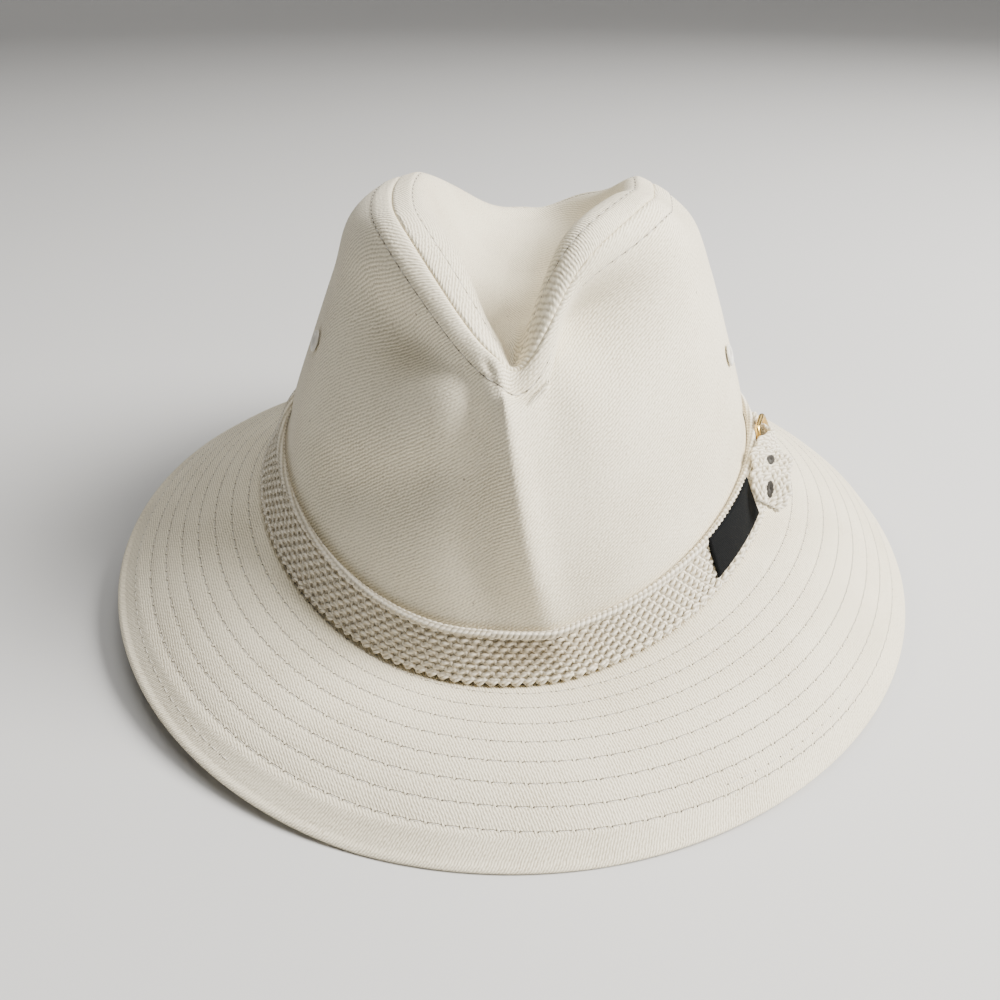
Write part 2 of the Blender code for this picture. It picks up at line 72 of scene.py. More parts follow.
Array = np.ndarray
Line = tuple[Array, Array]
Colour = tuple[float, float, float]
Socket = bpy.types.NodeSocket
Material = bpy.types.Material
Piece = bpy.types.Object
UP = np.array((0.0, 0.0, 1.0))


class Layer(Enum):
    """The UV layers: the cut cloth, the sewn rows on it, and a yarn's length and turn.

    All are in metres, but for the first coordinate of the rows, which counts the stitches.
    """

    CLOTH = "cloth"
    ROWS = "rows"
    YARN = "yarn"


def smooth_step(value: Array, low: float, high: float) -> Array:
    """Return 0 below low, 1 above high and a smooth rise between them."""
    share = np.clip((value - low) / (high - low), 0.0, 1.0)
    return share * share * (3.0 - 2.0 * share)


def unit(vectors: Array) -> Array:
    """Return vectors scaled to a length of 1."""
    return vectors / np.linalg.norm(vectors, axis=-1, keepdims=True)


def running(points: Array) -> Array:
    """Return the distance of each point from the first one, along the first axis."""
    steps = np.linalg.norm(np.diff(points, axis=0), axis=-1)
    return np.concatenate((np.zeros_like(steps[:1]), np.cumsum(steps, axis=0)))


def between(values: Array, index: Array, share: Array) -> Array:
    """Return a grid's values at a share of the way from one row to the next, in each column."""
    columns = np.arange(values.shape[1])
    share = share.reshape(share.shape + (1,) * (values.ndim - 2))
    return values[index, columns] * (1 - share) + values[index + 1, columns] * share


def mesh(*axes: Array) -> tuple[Array, ...]:
    """Return each axis's value at every place of a grid, as flat arrays."""
    return tuple(values.ravel() for values in np.meshgrid(*axes, indexing="ij"))


@dataclass(frozen=True)
class Ring:
    """One ring of the crown, its lengths as shares of the crown's sizes.

    fullness shapes the oval's front, 2 being round. saddle, pinch and dip say how much of
    the hem's side rise, of the front pinch and of the fall to the back the ring follows, and
    turn is how far the pinch's middle is turned from the front, in degrees.
    """

    half_width: float
    front: float
    back: float
    fullness: float
    height: float
    saddle: float
    pinch: float
    dip: float
    turn: float


@dataclass(frozen=True)
class Dent:
    """A soft dent in the crown, or a ridge where its depth is negative.

    azimuth, drift a level and spread are in degrees, and depth is a share of the dent depth.
    """

    azimuth: float
    drift: float
    spread: float
    level: float
    level_spread: float
    depth: float


@dataclass(frozen=True)
class Crease:
    """A sharp fold line in the crown's cloth, from one (azimuth in degrees, level) to another."""

    start: tuple[float, float]
    end: tuple[float, float]
    width: float
    depth: float


# The levels of the crown's foot, of the seam between side and tip, and of the crease in the tip.
HEM, SEAM, CREASE = 0.0, 6.0, 9.0

RINGS = (
    Ring(1.000, 1.000, 1.000, 2.00, 0.000, 1.00, 0.00, 0.00, 0.0),
    Ring(0.901, 0.977, 0.977, 2.00, 0.174, 1.00, 0.00, 0.00, 0.0),
    Ring(0.862, 0.962, 0.955, 1.92, 0.300, 0.72, 0.00, 0.05, 0.0),
    Ring(0.788, 0.936, 0.922, 1.82, 0.480, 0.45, 0.00, 0.15, 0.0),
    Ring(0.697, 0.900, 0.885, 1.75, 0.690, 0.20, 0.20, 0.40, 0.0),
    Ring(0.605, 0.862, 0.842, 1.75, 0.855, 0.00, 0.71, 0.79, 4.0),
    Ring(0.455, 0.816, 0.797, 1.80, 0.952, 0.00, 0.87, 0.87, 4.0),
    Ring(0.350, 0.754, 0.740, 1.55, 0.955, 0.00, 0.92, 0.81, 4.0),
    Ring(0.225, 0.650, 0.626, 1.75, 0.760, 0.00, 0.25, 0.27, 4.0),
    Ring(0.050, 0.500, 0.480, 2.00, 0.660, 0.00, -0.03, -0.03, 0.0),
)

DENTS = (
    Dent(-36.0, 0.0, 19.0, 4.45, 0.75, 1.25),
    Dent(35.0, 0.0, 17.0, 4.40, 0.80, 0.75),
    Dent(-34.0, 6.0, 15.0, 2.20, 0.80, 0.35),
    Dent(4.0, -1.4, 8.0, 2.90, 1.40, -0.30),
    Dent(38.0, 0.0, 16.0, 6.40, 1.10, -0.55),
    Dent(-38.0, 0.0, 16.0, 7.00, 0.70, -0.30),
    Dent(-70.0, 0.0, 30.0, 5.30, 0.80, -0.45),
    Dent(20.0, 0.0, 12.0, 5.90, 1.10, 0.25),
    Dent(28.0, 0.0, 16.0, 4.90, 0.80, 1.65),
    Dent(58.0, 0.0, 14.0, 5.90, 1.10, -0.77),
    Dent(-45.0, 0.0, 16.0, 5.70, 0.90, -0.93),
    Dent(178.0, 0.0, 9.0, 5.80, 0.80, 0.58),
    Dent(150.0, 0.0, 18.0, 5.80, 1.00, -0.57),
    Dent(-150.0, 0.0, 18.0, 5.80, 1.00, 1.13),
)

# Sharper folds that the solids leave to the cloth.
PLEATS = (
    Dent(4.8, -3.2, 3.8, 3.1, 2.1, -0.42),
    Dent(-7.0, -3.0, 6.5, 3.2, 1.8, 0.58),
    Dent(15.0, -2.0, 6.0, 4.0, 1.0, 0.28),
    Dent(-20.0, 8.0, 9.0, 2.9, 0.50, 0.42),
    Dent(-24.0, 8.0, 9.0, 4.0, 0.45, -0.24),
    Dent(-40.0, 9.0, 9.0, 2.2, 0.50, 0.34),
)

CREASES = (
    Crease((-8.5, 5.60), (-4.0, 5.20), 1.2 * MM, 0.8 * MM),
    Crease((-13.0, 4.15), (-4.0, 3.35), 1.6 * MM, 0.5 * MM),
    Crease((1.0, 6.42), (7.0, 6.55), 0.7 * MM, 0.5 * MM),
    Crease((-4.0, 5.1), (7.0, 1.7), 1.5 * MM, 0.5 * MM),
)


@dataclass(frozen=True)
class CrownForm:
    """The crown's sizes and its surface, the same as in the solids."""

    half_width: float = 88.2 * MM
    half_length: float = 105.4 * MM
    height: float = 100.0 * MM
    cloth: float = 1.6 * MM
    lean: float = 2.9 * MM
    seam_height: float = 15.8 * MM
    side_rise: float = 21.4 * MM
    front_pinch: float = 32.5 * MM
    back_slope: float = 33.0 * MM
    dent_depth: float = 7.0 * MM
    pinch_rounding: float = 0.15
    pinch_power_left: float = 1.25
    pinch_power_right: float = 4.2
    back_power: float = 1.3
    step: float = 0.01

    def mean_radius(self) -> float:
        """Return the radius of a circle that is about as long round as the hem."""
        return math.hypot(self.half_width, self.half_length) / math.sqrt(2.0)

    def hem_height(self, azimuth: Array) -> Array:
        """Return the height of the seam between crown and brim."""
        return self.seam_height + self.side_rise * np.sin(azimuth) ** 2

    def top_drop(self, ring: Ring, azimuth: Array) -> Array:
        """Return how far a ring is lowered by the front pinch or by the fall to the back."""
        cosine = np.cos(azimuth)
        fall = ring.dip * self.back_slope * np.maximum(-cosine, 0.0) ** self.back_power
        sine = np.sin(azimuth - math.radians(ring.turn))
        away = np.sqrt(sine ** 2 + self.pinch_rounding ** 2)
        share = np.maximum(1.0 - away, 0.0) / (1.0 - self.pinch_rounding)
        power = np.where(sine > 0.0, self.pinch_power_right, self.pinch_power_left)
        return np.where(cosine < 0.0, fall, ring.pinch * self.front_pinch * share ** power)

    def ring_points(self, ring: Ring, azimuth: Array) -> Array:
        """Return a ring's points at each azimuth."""
        sine, cosine = np.sin(azimuth), np.cos(azimuth)
        power = 1.0 + (2.0 / ring.fullness - 1.0) * np.maximum(cosine, 0.0) ** 0.5
        reach = np.where(cosine > 0.0, ring.front, ring.back)
        x = ring.half_width * self.half_width * np.sign(sine) * np.abs(sine) ** power
        y = -reach * self.half_length * np.sign(cosine) * np.abs(cosine) ** power
        top = self.seam_height + self.side_rise
        drop = ring.saddle * (top - self.hem_height(azimuth)) + self.top_drop(ring, azimuth)
        z = top + ring.height * self.height - drop
        return np.stack((x + ring.height * self.lean, y, z), axis=-1)

    def smooth(self, azimuth: Array, level: Array) -> Array:
        """Return the surface between the rings, without its dents."""
        rings = np.stack([self.ring_points(ring, azimuth) for ring in RINGS])
        last = len(RINGS) - 1
        index = np.clip(level.astype(int), 0, last - 1)
        column = np.arange(len(azimuth))
        before = rings[np.maximum(index - 1, 0), column]
        start, end = rings[index, column], rings[index + 1, column]
        after = rings[np.minimum(index + 2, last), column]
        start_slope = (end - before) / np.where(index > 0, 2.0, 1.0)[:, None]
        end_slope = (after - start) / np.where(index + 2 <= last, 2.0, 1.0)[:, None]
        share = (level - index)[:, None]
        square, cube = share ** 2, share ** 3
        return (start * (2 * cube - 3 * square + 1) + start_slope * (cube - 2 * square + share)
                + end * (3 * square - 2 * cube) + end_slope * (cube - square))

    def normals(self, surface: Callable[[Array, Array], Array], azimuth: Array, level: Array) -> Array:
        """Return the outward normals of a surface of azimuth and level."""
        level = np.clip(level, HEM + self.step, CREASE - self.step)
        around = surface(azimuth + self.step, level) - surface(azimuth - self.step, level)
        upward = surface(azimuth, level + self.step) - surface(azimuth, level - self.step)
        return unit(np.cross(around, upward))

    def outer(self, azimuth: Array, level: Array) -> Array:
        """Return the crown's outer surface, dents and pleats included."""
        depth = np.zeros_like(azimuth)
        for dent in DENTS + PLEATS:
            turn = np.degrees(azimuth) - dent.azimuth - dent.drift * (level - dent.level)
            turn = (turn + 180.0) % 360.0 - 180.0
            spread = (turn / dent.spread) ** 2 + ((level - dent.level) / dent.level_spread) ** 2
            depth += dent.depth * self.dent_depth * np.exp(-spread)
        push = depth[:, None] * self.normals(self.smooth, azimuth, level)
        return self.smooth(azimuth, level) - push

    def place(self, azimuth: Array, level: Array, offset: Array | float) -> Array:
        """Return points at an offset outside the crown's surface, or inside where negative."""
        azimuth, level, offset = np.broadcast_arrays(azimuth, level, offset)
        azimuth, level, offset = (np.asarray(value, float).ravel() for value in (azimuth, level, offset))
        normals = self.normals(self.outer, azimuth, level)
        return self.outer(azimuth, level) + offset[:, None] * normals


@dataclass
class Sheet:
    """A cloth surface as a grid: rows by columns round the oval, the last column closing it.

    arcs is the distance of each row from the first one, along the cloth.
    """

    points: Array
    normals: Array
    arcs: Array

    @classmethod
    def through(cls, points: Array, normals: Array) -> "Sheet":
        """Return a sheet whose arcs are measured along its columns."""
        return cls(points, normals, running(points))

    def raised(self, relief: Array) -> "Sheet":
        """Return the sheet raised along its normals by a relief."""
        return Sheet(self.points + relief[..., None] * self.normals, self.normals, self.arcs)

    def row_at(self, distance: Array | float) -> Line:
        """Return the line that lies at a distance from the first row, and its normals.

        Args:
            distance: The distance along the cloth, one value or one for each column.

        Returns:
            The line's points and normals, one for each column.
        """
        columns = np.arange(self.arcs.shape[1])
        distance = np.broadcast_to(distance, columns.shape)
        index = np.clip((self.arcs < distance).sum(axis=0) - 1, 0, len(self.arcs) - 2)
        low, high = self.arcs[index, columns], self.arcs[index + 1, columns]
        share = (distance - low) / (high - low)
        return between(self.points, index, share), unit(between(self.normals, index, share))


def new_piece(name: str, points: Array, faces: list[list[int]]) -> Piece:
    """Return a smooth-shaded object made of points and faces."""
    mesh = bpy.data.meshes.new(name)
    mesh.from_pydata(points.reshape(-1, 3).tolist(), [], faces)
    mesh.shade_smooth()
    piece = bpy.data.objects.new(name, mesh)
    bpy.context.scene.collection.objects.link(piece)
    return piece


def add_layer(piece: Piece, layer: Layer, corners: Array) -> None:
    """Give a piece a UV layer from one pair of numbers for each face corner."""
    uv_layer = piece.data.uv_layers.new(name=layer.value)
    uv_layer.data.foreach_set("uv", np.ascontiguousarray(corners, np.float32).ravel())


def grid_corners(rows: int, columns: int, closed: bool) -> Line:
    """Return the row and the column of each corner of a grid's faces.

    Args:
        rows: How many rings the grid has.
        columns: How many columns it has, without the closing one.
        closed: Whether the last ring joins the first one.

    Returns:
        Two arrays with four values for each face. A column may be the closing one.
    """
    steps = rows if closed else rows - 1
    row, column = mesh(np.arange(steps), np.arange(columns))
    above = (row + 1) % rows
    return np.stack((row, row, above, above), 1), np.stack((column, column + 1, column + 1, column), 1)


def ring_faces(rows: int, columns: int, closed: bool) -> Array:
    """Return the faces of a grid of rings, whose last column joins the first one."""
    row, column = grid_corners(rows, columns, closed)
    return row * columns + column % columns


def patch_corners(values: Array) -> Array:
    """Return an open grid's values at the four corners of each face."""
    return np.stack((values[:-1, :-1], values[:-1, 1:], values[1:, 1:], values[1:, :-1]), -1)


def turned_rings(radius: Array, height: Array, sides: int) -> Array:
    """Return the rings that a profile of radii and heights makes round the Z axis."""
    angle = TURN * np.arange(sides) / sides
    return np.stack((radius[:, None] * np.cos(angle), radius[:, None] * np.sin(angle),
                     np.broadcast_to(height[:, None], (len(radius), sides))), -1)


def cap_corners(row: int, columns: int, upward: bool) -> list[tuple[list[int], list[int]]]:
    """Return the faces that join a ring's two mirrored halves, as rows and columns of corners."""
    faces = []
    for column in range(columns // 2):
        around = [column, column + 1, columns - column - 1, columns - column]
        around = list(dict.fromkeys(place % columns for place in around))
        if not upward:
            around.reverse()
        faces.append(([row] * len(around), around))
    return faces


def loft(name: str, rings: Array, layers: dict[Layer, Array], closed: bool) -> Piece:
    """Return a piece lofted through rings that run round the oval.

    Args:
        name: The piece's name.
        rings: The points, by ring and by column, the last column repeating the first.
        layers: UV values for the same grid.
        closed: Whether the last ring joins the first. If not, both end rings are capped.

    Returns:
        The piece, with its UV layers.
    """
    count, columns = rings.shape[0], rings.shape[1] - 1
    faces = ring_faces(count, columns, closed).tolist()
    rows, places = (corner.ravel() for corner in grid_corners(count, columns, closed))
    if not closed:
        caps = cap_corners(0, columns, False) + cap_corners(count - 1, columns, True)
        faces += [[r * columns + c for r, c in zip(*cap)] for cap in caps]
        rows = np.concatenate((rows, *[cap[0] for cap in caps]))
        places = np.concatenate((places, *[cap[1] for cap in caps]))
    piece = new_piece(name, rings[:, :columns], faces)
    for layer, values in layers.items():
        add_layer(piece, layer, values[rows, places])
    return piece


def tubes(name: str, lines: Array, normals: Array, radii: Array | float, sides: int,
          closed: bool = False) -> Piece:
    """Return one piece that holds a tube along each line.

    Args:
        name: The piece's name.
        lines: The centre lines, by line and by point.
        normals: A direction across each line at each point.
        radii: The tube's radius, one value or one for each line and point.
        sides: How many sides the tube has.
        closed: Whether each line is a loop.

    Returns:
        The piece, with a UV layer of its length and of its turn in metres.
    """
    count, length = lines.shape[:2]
    if closed:
        along = unit(np.roll(lines, -1, axis=1) - np.roll(lines, 1, axis=1))
    else:
        along = unit(np.gradient(lines, axis=1))
    sideways = unit(np.cross(along, normals))
    upward = np.cross(sideways, along)
    angle = TURN * np.arange(sides) / sides
    radii = np.broadcast_to(radii, (count, length))[:, :, None, None]
    circle = np.cos(angle)[:, None] * sideways[:, :, None] + np.sin(angle)[:, None] * upward[:, :, None]
    points = lines[:, :, None] + radii * circle
    steps = length if closed else length - 1
    line, place, side = mesh(np.arange(count), np.arange(steps), np.arange(sides))
    after, turn = (place + 1) % length, (side + 1) % sides
    quads = np.stack([(line * length + p) * sides + s for p, s in
                      ((place, side), (after, side), (after, turn), (place, turn))], 1)
    faces = quads.tolist()
    distance = np.concatenate((np.zeros((count, 1)), np.cumsum(
        np.linalg.norm(np.diff(lines, axis=1, append=lines[:, :1]), axis=2), axis=1)), axis=1)
    mean_radius = float(np.mean(radii))
    start, end = distance[line, place], distance[line, place + 1]
    low, high = side * TURN * mean_radius / sides, (side + 1) * TURN * mean_radius / sides
    corners = [np.stack((start, end, end, start), 1), np.stack((low, low, high, high), 1)]
    uv = np.stack(corners, -1).reshape(-1, 2)
    if not closed:
        first = np.arange(count)[:, None] * length * sides + np.arange(sides)
        last = first[:, ::-1] + (length - 1) * sides
        faces += first.tolist() + last.tolist()
        uv = np.concatenate((uv, np.zeros((2 * count * sides, 2))))
    piece = new_piece(name, points, faces)
    add_layer(piece, Layer.YARN, uv)
    return piece


@dataclass(frozen=True)
class Stitching:
    """A sewing thread's size and the way it lies in the cloth."""

    pitch: float = 4.7 * MM
    fill: float = 0.78
    thread: float = 0.17 * MM
    rise: float = 0.02 * MM
    sink: float = 0.36 * MM
    hole: float = 0.24 * MM
    hole_top: float = 0.07 * MM
    shape: tuple[float, ...] = (0.0, 0.12, 0.5, 0.88, 1.0)

    def cut(self, line: Array) -> tuple[Array, int]:
        """Return the distance of each point along a line, and how many stitches fill it."""
        distance = running(line)
        return distance, max(1, round(distance[-1] / self.pitch))

    @staticmethod
    def carry(place: Array, distance: Array, line: Array, normals: Array) -> Line:
        """Return a line's points and unit normals at some distances along it."""
        points, up = (np.stack([np.interp(place, distance, values[:, axis]) for axis in range(3)], -1)
                      for values in (line, normals))
        return points, unit(up)

    def along(self, line: Array, normals: Array) -> Line:
        """Return the centre lines and normals of the stitches sewn along a line."""
        distance, count = self.cut(line)
        shape = np.array(self.shape)
        start = np.arange(count) / count
        place = (start[:, None] + shape * self.fill / count) * distance[-1]
        lift = self.rise - self.sink * np.abs(2.0 * shape - 1.0) ** 3
        points, up = self.carry(place, distance, line, normals)
        return points + lift[None, :, None] * up, up

    def holes(self, line: Array, normals: Array) -> Line:
        """Return short upright lines where the needle went through, and their side directions."""
        distance, count = self.cut(line)
        place = np.arange(count) / count * distance[-1]
        points, up = self.carry(place, distance, line, normals)
        across = unit(np.cross(up, np.array((0.3, 0.2, 0.9))))
        ends = np.stack((points - self.hole * up, points + self.hole_top * up), 1)
        return ends, np.stack((across, across), 1)


class Graph:
    """A material's node tree, with short ways to add nodes to it."""

    def __init__(self, name: str, roughness: float, metallic: float = 0.0, sheen: float = 0.0) -> None:
        """Start a material with a Principled shader."""
        self.material = bpy.data.materials.new(name)
        self.material.use_nodes = True
        self.tree = self.material.node_tree
        self.shader = self.tree.nodes["Principled BSDF"]
        for title, value in (("Roughness", roughness), ("Metallic", metallic),
                             ("Sheen Weight", sheen), ("Sheen Roughness", 0.5)):
            self.shader.inputs[title].default_value = value

    def node(self, kind: str, **settings: object) -> bpy.types.Node:
        """Add a node and set its properties."""
        made = self.tree.nodes.new(kind)
        for name, value in settings.items():
            setattr(made, name, value)
        return made

    def put(self, value: object, socket: Socket) -> None:
        """Link an output to a socket, or set the socket to a plain value."""
        if isinstance(value, Socket):
            self.tree.links.new(value, socket)
        else:
            socket.default_value = value

    def math(self, operation: str, *values: object, clamp: bool = False) -> Socket:
        """Return the result of a Math node."""
        made = self.node("ShaderNodeMath", operation=operation, use_clamp=clamp)
        for value, socket in zip(values, made.inputs):
            self.put(value, socket)
        return made.outputs[0]

    def layer(self, layer: Layer) -> tuple[Socket, Socket, Socket]:
        """Return a UV layer's vector and its two coordinates."""
        vector = self.node("ShaderNodeUVMap", uv_map=layer.value).outputs["UV"]
        return vector, *self.split(vector)

    def split(self, vector: Socket) -> tuple[Socket, Socket]:
        """Return a vector's first two coordinates."""
        made = self.node("ShaderNodeSeparateXYZ")
        self.put(vector, made.inputs[0])
        return made.outputs["X"], made.outputs["Y"]

    def noise(self, vector: Socket, scale: float, detail: float = 2.0) -> Socket:
        """Return a noise from 0 to 1 at a scale a metre."""
        made = self.node("ShaderNodeTexNoise")
        self.put(vector, made.inputs["Vector"])
        made.inputs["Scale"].default_value = scale
        made.inputs["Detail"].default_value = detail
        return made.outputs["Fac"]

    def ramp(self, value: object, low: float, high: float, start: float, end: float) -> Socket:
        """Return a value mapped smoothly from one range to another."""
        made = self.node("ShaderNodeMapRange", interpolation_type="SMOOTHSTEP")
        for number, item in enumerate((value, low, high, start, end)):
            self.put(item, made.inputs[number])
        return made.outputs[0]

    def mix(self, share: object, first: object, second: object) -> Socket:
        """Return a mix of two colours."""
        made = self.node("ShaderNodeMix", data_type="RGBA")
        colours = [(*item, 1.0) if isinstance(item, tuple) else item for item in (first, second)]
        for value, place in zip((share, *colours), (0, 6, 7)):
            self.put(value, made.inputs[place])
        return made.outputs[2]

    def finish(self, colour: object, height: object, depth: float) -> Material:
        """Link the colour and a bump of a depth in metres, and return the material."""
        self.put(colour, self.shader.inputs["Base Color"])
        bump = self.node("ShaderNodeBump")
        bump.inputs["Strength"].default_value = 1.0
        bump.inputs["Distance"].default_value = depth
        self.put(height, bump.inputs["Height"])
        self.put(bump.outputs[0], self.shader.inputs["Normal"])
        return self.material


@dataclass(frozen=True)
class SewnRows:
    """Where rows of stitches run in the ROWS layer, whose first coordinate counts the stitches.

    Each stitch presses the cloth down in a fine line, and the cloth swells in the gap after it.
    """

    first: float
    spacing: float
    count: int
    line: float = 0.24 * MM
    swell: float = 0.75 * MM
    gap: float = 0.80

    def pressed(self, graph: Graph) -> tuple[Socket, Socket]:
        """Return how far the cloth is pressed down, and how far it swells between stitches."""
        _, number, across = graph.layer(Layer.ROWS)
        start = graph.math("SUBTRACT", across, self.first)
        distance = graph.math("PINGPONG", graph.math("ABSOLUTE", start), 0.5 * self.spacing)
        middle = graph.math("SUBTRACT", start, 0.5 * (self.count - 1) * self.spacing)
        inside = graph.math("LESS_THAN", graph.math("ABSOLUTE", middle), 0.5 * self.count * self.spacing)
        line = graph.math("MULTIPLY", graph.ramp(distance, 0.3 * self.line, self.line, 1.0, 0.0), inside)
        swell = graph.math("MULTIPLY", graph.ramp(distance, 0.2 * self.swell, self.swell, 1.0, 0.0), inside)
        gap = graph.ramp(graph.math("FRACT", number), self.gap - 0.06, self.gap, 0.0, 1.0)
        pressed = graph.math("MULTIPLY", line, graph.math("SUBTRACT", 1.0, gap))
        return pressed, graph.math("MULTIPLY", swell, gap)


@dataclass(frozen=True)
class TwillFinish:
    """Undyed cotton twill, its diagonal ribs drawn in the cut cloth's own plane."""

    name: str
    lean: float
    rows: Optional[SewnRows] = None
    light: Colour = (0.94, 0.865, 0.675)
    # dark is painted shade, the colour of the valleys between the ribs.
    dark: Colour = (0.44, 0.37, 0.245)
    fleck: Colour = (0.24, 0.18, 0.12)
    # line is painted shade, the dark of the groove along each sewn row.
    line: Colour = (0.25, 0.21, 0.15)
    pitch: float = 0.90 * MM
    float_length: float = 1.7 * MM
    depth: float = 0.26 * MM

    def material(self) -> Material:
        """Return the cloth's material."""
        graph = Graph(self.name, 0.88, sheen=0.15)
        vector, u, v = graph.layer(Layer.CLOTH)
        sine, cosine = math.sin(math.radians(self.lean)), math.cos(math.radians(self.lean))
        wobble = graph.math("MULTIPLY", graph.noise(vector, 420.0), 0.9 * self.pitch)
        across = graph.math("SUBTRACT", graph.math("MULTIPLY", u, sine), graph.math("MULTIPLY", v, cosine))
        across = graph.math("DIVIDE", graph.math("ADD", across, wobble), self.pitch)
        along = graph.math("ADD", graph.math("MULTIPLY", u, cosine), graph.math("MULTIPLY", v, sine))
        along = graph.math("DIVIDE", along, self.float_length)
        rib = self.wave(graph, across)
        floats = self.wave(graph, graph.math("ADD", along, graph.math("MULTIPLY", across, 0.5)))
        fuzz = graph.noise(vector, 1300.0, 3.0)
        grain = graph.math("MULTIPLY", rib, graph.math("MULTIPLY_ADD", floats, 0.55, 0.45))
        height = graph.math("MULTIPLY_ADD", grain, 0.55, graph.math("MULTIPLY", fuzz, 0.62))
        patch = graph.noise(vector, 34.0, 4.0)
        # Painted shade: the colour darkens in the rib valleys, with tone that differs at random in patches
        # on top.
        rib_shade_and_tone = graph.math("ADD", height, graph.math("MULTIPLY", patch, 0.34))
        colour = graph.mix(graph.ramp(rib_shade_and_tone, 0.22, 0.86, 0.0, 1.0), self.dark, self.light)
        colour = graph.mix(self.flecks(graph, vector), colour, self.fleck)
        if self.rows:
            pressed, swell = self.rows.pressed(graph)
            # Painted shade: the cloth darkens towards the line colour where a stitch presses it in.
            colour = graph.mix(graph.math("MULTIPLY", pressed, 0.78), colour, self.line)
            height = graph.math("SUBTRACT", height, graph.math("MULTIPLY", pressed, 1.2))
            height = graph.math("ADD", height, graph.math("MULTIPLY", swell, 0.9))
        return graph.finish(colour, height, self.depth)

    @staticmethod
    def wave(graph: Graph, phase: Socket) -> Socket:
        """Return a wave from 0 to 1 that repeats with each whole number of the phase."""
        return graph.math("MULTIPLY_ADD", graph.math("SINE", graph.math("MULTIPLY", phase, TURN)), 0.5, 0.5)

    @staticmethod
    def flecks(graph: Graph, vector: Socket) -> Socket:
        """Return small sparse specks of seed husk."""
        cells = graph.node("ShaderNodeTexVoronoi")
        graph.put(vector, cells.inputs["Vector"])
        cells.inputs["Scale"].default_value = 150.0
        near = graph.ramp(cells.outputs["Distance"], 0.03, 0.085, 0.75, 0.0)
        chance, _ = graph.split(cells.outputs["Color"])
        return graph.math("MULTIPLY", near, graph.math("GREATER_THAN", chance, 0.93))


@dataclass(frozen=True)
class YarnFinish:
    """Twisted cotton yarn or thread."""

    name: str
    light: Colour
    dark: Colour
    twist: float
    depth: float
    # The optional colour below is a painted tan shade, mixed in where a piece's painted-shade attribute is
    # marked.
    painted_shade: Optional[Colour] = None

    def material(self) -> Material:
        """Return the yarn's material."""
        graph = Graph(self.name, 0.92, sheen=0.25)
        vector, along, around = graph.layer(Layer.YARN)
        phase = graph.math("DIVIDE", graph.math("ADD", along, around), self.twist)
        ply = TwillFinish.wave(graph, phase)
        fuzz = graph.noise(vector, 1.6 / self.twist, 3.0)
        height = graph.math("ADD", graph.math("MULTIPLY", ply, 0.5), graph.math("MULTIPLY", fuzz, 0.6))
        # Painted shade: the yarn is darker in the hollows between its plies.
        colour = graph.mix(graph.ramp(height, 0.15, 0.85, 0.0, 1.0), self.dark, self.light)
        # Painted shade: darken towards that tan where the band's shaded front is marked.
        if self.painted_shade:
            amount = graph.node("ShaderNodeAttribute", attribute_name="painted_shade").outputs["Fac"]
            colour = graph.mix(graph.math("MULTIPLY", amount, 0.62), colour, self.painted_shade)
        return graph.finish(colour, height, self.depth)


@dataclass(frozen=True)
class LabelFinish:
    """Dull black ribbon cloth, finely ribbed and left bare."""

    name: str = "label_ribbon"
    light: Colour = (0.005, 0.006, 0.007)
    dark: Colour = (0.0015, 0.0018, 0.002)
    rib: float = 0.55 * MM
    depth: float = 0.08 * MM

    def material(self) -> Material:
        """Return the ribbon's material."""
        graph = Graph(self.name, 0.9)
        graph.shader.inputs["Specular IOR Level"].default_value = 0.12
        vector, u, v = graph.layer(Layer.CLOTH)
        ribs = TwillFinish.wave(graph, graph.math("DIVIDE", v, self.rib))
        picks = TwillFinish.wave(graph, graph.math("DIVIDE", u, 0.8 * self.rib))
        weave = graph.math("MULTIPLY_ADD", ribs, 0.6, graph.math("MULTIPLY", picks, 0.4))
        dust = graph.noise(vector, 900.0, 3.0)
        height = graph.math("ADD", weave, graph.math("MULTIPLY", dust, 0.5))
        # Painted shade: the ribbon is darker in the hollows of its weave.
        colour = graph.mix(graph.ramp(height, 0.2, 1.3, 0.0, 1.0), self.dark, self.light)
        return graph.finish(colour, height, self.depth)


@dataclass(frozen=True)
class MetalFinish:
    """Drawn brass wire or enamelled metal, with fine handling marks."""

    name: str
    colour: Colour
    worn: Colour
    roughness: float
    metallic: float
    depth: float = 0.03 * MM

    def material(self) -> Material:
        """Return the metal's material."""
        graph = Graph(self.name, self.roughness, self.metallic)
        vector = graph.node("ShaderNodeTexCoord").outputs["Object"]
        marks = graph.noise(vector, 900.0, 4.0)
        patch = graph.noise(vector, 220.0, 2.0)
        colour = graph.mix(graph.ramp(patch, 0.4, 0.75, 0.0, 1.0), self.colour, self.worn)
        rough = graph.ramp(marks, 0.3, 0.7, 0.75 * self.roughness, 1.3 * self.roughness)
        graph.put(rough, graph.shader.inputs["Roughness"])
        return graph.finish(colour, marks, self.depth)


def dress(piece: Piece, material: Material, slot: str, *nodes: str) -> None:
    """Give a piece its material and the solids that it stands for, and report it."""
    piece.data.materials.clear()
    piece.data.materials.append(material)
    if nodes:
        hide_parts(*nodes)
    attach(piece, "root")
    log.info("%s: %d faces", piece.name, len(piece.data.polygons))


